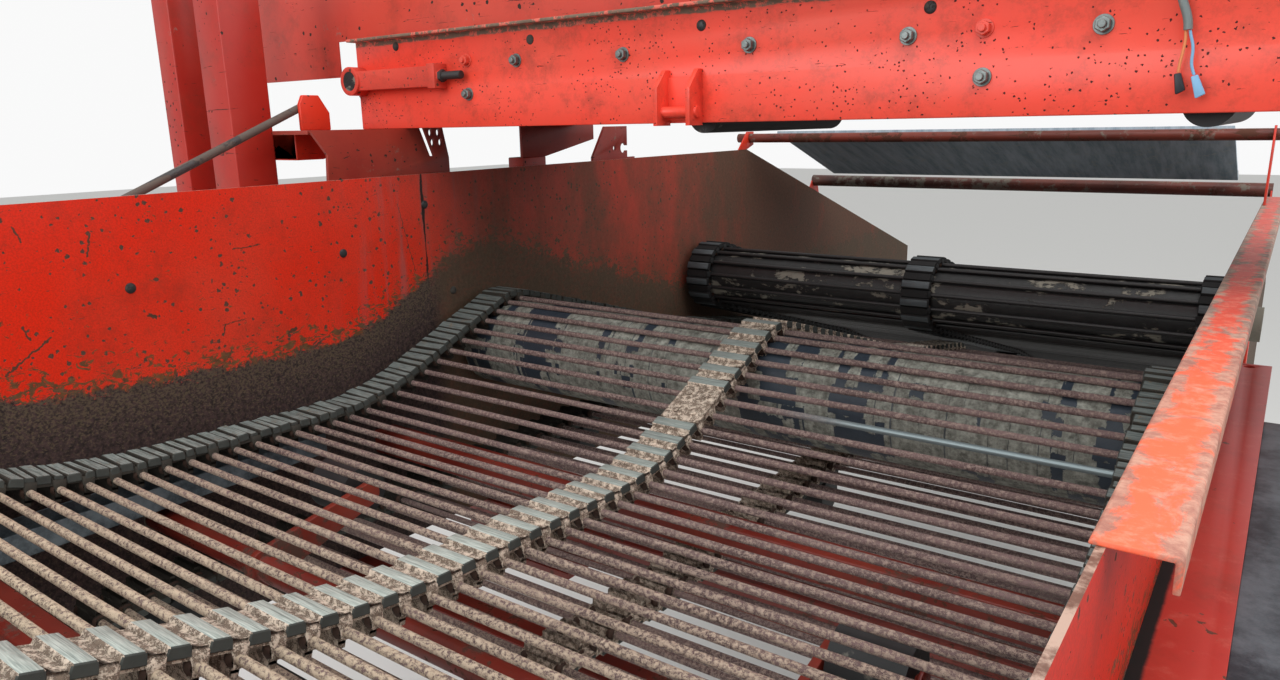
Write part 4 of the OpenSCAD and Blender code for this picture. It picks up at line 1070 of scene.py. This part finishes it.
def build_steelwork():
    # name, paint, wear, earth, pits, what shows in the chips, and the earth's colour
    frame_red = red_paint("frame_red_paint", FRESH_RED, 0.18, 0.20)
    conveyor_red = conveyor_plate_material()
    # Seat plate: a darker red than the frame's, painted shade for the plate lying in shadow.
    shaded_red = red_paint("painted_shade_red_paint", srgb(124, 26, 20), 0.3, 0.25, 0.8)
    post_red = red_paint("post_red_paint", srgb(164, 34, 24), 0.2, 0.25, 0.6)
    # Frame below the web: more earth, and a darker red that is painted shade for its lying under the web.
    under_red = red_paint("muddy_red_with_painted_shade", srgb(104, 28, 20), 0.45, 0.42, 0.8, RUST_BROWN, srgb(74, 64, 54))
    hood_red = red_paint("hood_red_paint", srgb(196, 58, 44), 0.28, 0.30, 0.6)
    dark_tube = red_paint("dark_tube_paint", srgb(60, 44, 40), 0.6, 0.5, 0.5, RUST_BROWN)
    tube_rust = red_paint("rusty_tube_paint", srgb(96, 44, 34), 0.8, 0.4, 0.5, RUST_BROWN)
    strip_olive = red_paint("olive_strip", srgb(74, 66, 48), 0.3, 0.4, 0.3, RUST_BROWN)
    grey = grey_steel_material()
    drum_mud = drum_mud_material()
    mud = mud_material("dried_roller_mud", srgb(136, 132, 120), BLUE_BLACK, 1.1)
    black_mud = mud_material("black_nose_mud", srgb(138, 134, 122), srgb(6, 6, 6), 0.34, 13.0, 0.12)
    stay_rust = mud_material("rusty_stay", srgb(104, 92, 84), srgb(56, 54, 54), 0.7, 30.0)
    rubber = rubber_material("dusty_black_rubber", 0.35)
    for node, name, width, slot, material in (
            ("right_cap", "rubbed_cap", 1.5 * MM, "worn_red_paint", cap_material()),
            ("outer_rail", "rail_beside_cap", 2 * MM, "red_paint", rail_with_painted_gap_material()),
            ("side_skirt", "grey_skirt", 1 * MM, "grey_steel", grey),
            ("edge_channel", "grey_edge_channel", 1 * MM, "grey_steel", grey),
            ("posts", "square_posts", 6 * MM, "red_paint", post_red),
            ("conveyor_arms", "square_arms", 4 * MM, "red_paint", frame_red),
            ("seat_plate", "arm_seat_plate", 1.5 * MM, "red_paint", shaded_red),
            ("stay_lugs", "stay_ears", 2 * MM, "red_paint", frame_red),
            ("conveyor_rear_plate", "rear_conveyor_plate", 1.5 * MM, "red_paint", conveyor_red),
            ("conveyor_front_plate", "front_conveyor_plate", 1.5 * MM, "red_paint", conveyor_red),
            ("conveyor_hood", "conveyor_hood_sheets", 1 * MM, "worn_red_paint", hood_red),
            ("clevis_bracket", "plate_clevis", 1.5 * MM, "red_paint", conveyor_red),
            ("take_up", "take_up_box", 2.5 * MM, "worn_red_paint", take_up_material()),
            ("tube_brackets", "tube_bracket_plates", 1 * MM, "red_paint", frame_red),
            ("side_rails", "tube_side_rails", 4 * MM, "red_paint", under_red),
            ("cross_beams", "tube_cross_beams", 5 * MM, "red_paint", under_red),
            ("inner_cross_tubes", "tube_inner_beams", 4 * MM, "red_paint", under_red),
            ("feed_rails", "tube_feed_rails", 4 * MM, "red_paint", under_red),
            ("foot_plates", "bolted_feet", 1.5 * MM, "red_paint", under_red),
            ("splice_straps", "seam_straps", 1 * MM, "red_paint", frame_red)):
        softened(node, name, width, material)
    softened("agitator", "agitator_levers", 1 * MM, under_red, "agitator")
    for node, material in (
            ("upper_cross_tube", tube_rust), ("lower_cross_tube", dark_tube), ("apron_strip", strip_olive),
            ("rubber_apron", apron_material()), ("crest_drum", drum_mud), ("tail_roller", mud),
            ("feed_front_roller", mud), ("bearing_housings", mud), ("conveyor_rollers", black_mud),
            ("conveyor_bearings", mud), ("nose_drum", black_mud), ("conveyor_belt", rubber),
            ("conveyor_idlers", rubber), ("return_rollers", rubber), ("drive_sprockets", rubber),
            ("drive_shaft", grey), ("stay_rod", stay_rust), ("beater_wheel_left", rubber),
            ("beater_wheel_right", rubber)):
        painted(node, material)


# Fasteners

def bright_nut_material():
    material, tree, shader, place = new_material("dull_zinc_nuts")
    tone = mixed(tree, clouds(tree, place, 90.0, 5.0), srgb(70, 78, 78), srgb(150, 158, 156))
    finish_shader(tree, shader, tone, 0.42, clouds(tree, place, 300.0, 3.0), 0.3, 0.0004, 0.7)
    return material


def nut_model(across=17.5 * MM):
    """Hexagon nut on a washer with the bolt's end showing, standing along Z."""
    washer = bar("washer", (0, 0, 0), (0, 0, 2 * MM), across * 0.72, 24, 0.5 * MM)
    nut = bar("nut", (0, 0, 2 * MM), (0, 0, 12 * MM), across * 0.577, 6, 1.2 * MM)
    thread = bar("thread", (0, 0, 2 * MM), (0, 0, 17 * MM), across * 0.3, 16, 1 * MM)
    return joined([washer, nut, thread], "nut")


def facing(point, normal):
    """Matrix that stands a model at a point, its Z along a normal."""
    return Matrix.Translation(point) @ Vector(normal).to_track_quat("Z", "Y").to_matrix().to_4x4()


def button_model():
    """Domed bolt head for the trough's wall."""
    deselect()
    bpy.ops.mesh.primitive_uv_sphere_add(segments=20, ring_count=10, radius=9 * MM)
    head = active_piece("bolt_head")
    head.scale.z = 0.45
    apply_place(head)
    bpy.ops.object.mode_set(mode="EDIT")
    bpy.ops.mesh.select_all(action="SELECT")
    bpy.ops.mesh.bisect(plane_co=(0, 0, 0), plane_no=(0, 0, 1), clear_inner=True, use_fill=True)
    bpy.ops.object.mode_set(mode="OBJECT")
    return head


def build_fasteners():
    zinc = bright_nut_material()
    dark = mud_material("dark_bolt_ends", srgb(70, 66, 60), srgb(22, 24, 26), 0.5, 60.0)
    red = red_paint("painted_nuts", srgb(224, 76, 60), 0.3, 0.2)
    plate_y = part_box("conveyor_rear_plate")[0].y + 25 * MM
    # (x, z) of each fastener on the conveyor's plate, in millimetres
    sets = (
        ("zinc_nuts", nut_model, zinc, ((-558, 1064), (-425, 1121), (-173, 1117), (75, 1117), (329, 1113),
                                        (434, 1053), (578, 1110))),
        ("red_nuts", nut_model, red, ((-558, 1128), (433, 1116))),
        ("plugged_bolts", button_model, dark, ((-767, 1167), (-388, 1156), (-14, 1153), (358, 1149))))
    for name, model, material, spots in sets:
        places = [facing((x * MM, plate_y, z * MM), (0, -1, 0)) for x, z in spots]
        dressed(copies(model(), places, name), "root", material)
    wall_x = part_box("left_panel_rear")[1].x
    # (y, z) of each bolt in the left wall, in millimetres
    wall_bolts = ((-808, 751), (-390, 757), (-170, 837), (-104, 636))
    places = [facing((wall_x, y * MM, z * MM), (1, 0, 0)) for y, z in wall_bolts]
    dressed(copies(button_model(), places, "wall_bolts"), "root", dark)


# Cable before the conveyor's plate, along the routes of its packed tubes: (x, z) in millimetres

CABLE_Y = -214 * MM
SHEATH_ROUTE = ((659, 1158), (659, 1150), (660, 1142), (661.5, 1134), (664, 1126), (667, 1118),
                (669.5, 1110), (671, 1102), (671.5, 1096))
WIRE_LEFT_ROUTE = ((669.3, 1095.4), (669.8, 1090), (670, 1084), (669.6, 1078), (669, 1072),
                   (668.2, 1066), (667.4, 1060), (666.8, 1054), (666.5, 1047.6))
WIRE_RIGHT_ROUTE = ((673.7, 1095.4), (675, 1090), (676.8, 1084), (678.3, 1078), (679, 1072),
                    (679, 1066), (679, 1060), (679.8, 1054), (681.4, 1049), (683.2, 1044))


def plastic_material(name, clean, dirt):
    """Flexible plastic with a little dust in it."""
    material, tree, shader, place = new_material(name)
    film = use(tree, DRIED_EARTH, {"Place": place, "Scale": 60.0, "Amount": 0.3})
    colour = mixed(tree, times(tree, film["Mask"], 0.5), clean, dirt)
    finish_shader(tree, shader, colour, 0.45, film["Height"], 0.2, 0.0003)
    return material


def cable_tube(name, route, diameter, node, material):
    """Round cord along a route, standing for its packed tube."""
    curve = bpy.data.curves.new(name, "CURVE")
    curve.dimensions = "3D"
    curve.bevel_depth = diameter / 2
    curve.bevel_resolution = 5
    curve.use_fill_caps = True
    spline = curve.splines.new("BEZIER")
    spline.bezier_points.add(len(route) - 1)
    for point, (x, z) in zip(spline.bezier_points, route):
        point.co = (x * MM, CABLE_Y, z * MM)
        point.handle_left_type = point.handle_right_type = "AUTO"
    piece = dressed(linked(name, curve), "root", material)
    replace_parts(piece, node)
    return piece


def build_cable():
    grey = plastic_material("grey_cable_sheath", srgb(112, 122, 122), srgb(150, 150, 142))
    orange = plastic_material("orange_wire", srgb(216, 132, 84), srgb(176, 128, 96))
    blue = plastic_material("light_blue_plastic", srgb(122, 172, 208), srgb(140, 156, 160))
    black = plastic_material("black_plastic", srgb(26, 30, 38), srgb(80, 80, 78))
    softened("cable_gland", "cable_elbow", 1 * MM, black)
    left_sleeve = softened("cable_connector_left", "black_terminal_sleeve", 0.8 * MM, black)
    right_sleeve = softened("cable_connector_right", "blue_terminal_sleeve", 0.8 * MM,
                            blue)
    # name, route, diameter and length in millimetres, slot, finish and the sleeves at its end
    runs = (
        ("sheath", SHEATH_ROUTE, 10, 63.7, "grey_sheath", grey, []),
        ("wire_left", WIRE_LEFT_ROUTE, 3.5, 48.0, "orange_insulation", orange, [left_sleeve]),
        ("wire_right", WIRE_RIGHT_ROUTE, 3.5, 52.7, "pale_blue_insulation", blue, [right_sleeve]))
    for name, route, diameter, length, slot, material, sleeves in runs:
        tube = cable_tube(name, route, diameter * MM, "cable_" + name, material)


# Stage

def build_stage():
    deselect()
    bpy.ops.mesh.primitive_plane_add(size=60, location=(0, 0, GROUND_Z))
    floor = active_piece("floor")
    material = bpy.data.materials.new("pale_floor")
    material.use_nodes = True
    tree = material.node_tree
    fill(tree, tree.nodes["Principled BSDF"], {"Base Color": (0.75, 0.75, 0.73, 1), "Roughness": 0.9})
    floor.data.materials.append(material)

    world = bpy.data.worlds.new("soft_sky")
    bpy.context.scene.world = world
    world.use_nodes = True
    tree = world.node_tree
    paths = put(tree, "ShaderNodeLightPath").outputs
    seen = highest(tree, paths["Is Camera Ray"], paths["Is Transmission Ray"])
    strength = stepped(tree, seen, 0.0, 1.0, 0.68, 0.95)
    fill(tree, tree.nodes["Background"], {"Color": (1, 1, 1, 1), "Strength": strength})


def soft_lamp(name, place, target, size, power):
    deselect()
    bpy.ops.object.light_add(type="AREA", location=place)
    lamp = active_piece(name)
    lamp.data.size = size
    lamp.data.energy = power
    lamp.rotation_euler = (Vector(target) - Vector(place)).to_track_quat("-Z", "Y").to_euler()


def build_camera():
    """Camera over the right wall, looking forward and to the left down into the trough."""
    place = Vector((0.80, -1.50, 1.00))
    ahead = Vector((-0.576, 0.789, -0.235)).normalized()
    right = Vector((0.808, 0.580, -0.018))
    right = (right - right.dot(ahead) * ahead).normalized()
    up = right.cross(ahead)
    data = bpy.data.cameras.new("camera")
    data.sensor_width = 36
    data.lens = 25.26
    data.clip_start = 0.02
    camera = linked("camera", data)
    camera.matrix_world = Matrix.Translation(place) @ Matrix((right, up, -ahead)).transposed().to_4x4()
    bpy.context.scene.camera = camera


build_camera()
build_cable()
build_webs()
build_trough()
build_steelwork()
build_fasteners()
build_stage()
soft_lamp("overhead_light", (1.5, -1.2, 4.2), (0, 0, 0.5), 4.0, 130)
soft_lamp("side_light", (4.0, 1.5, 2.6), (0, 0, 0.5), 3.0, 45)
soft_lamp("rear_light", (-0.9, -4.6, 2.6), (-0.3, -0.2, 1.1), 2.5, 95)

bpy.context.scene.view_settings.view_transform = "Standard"
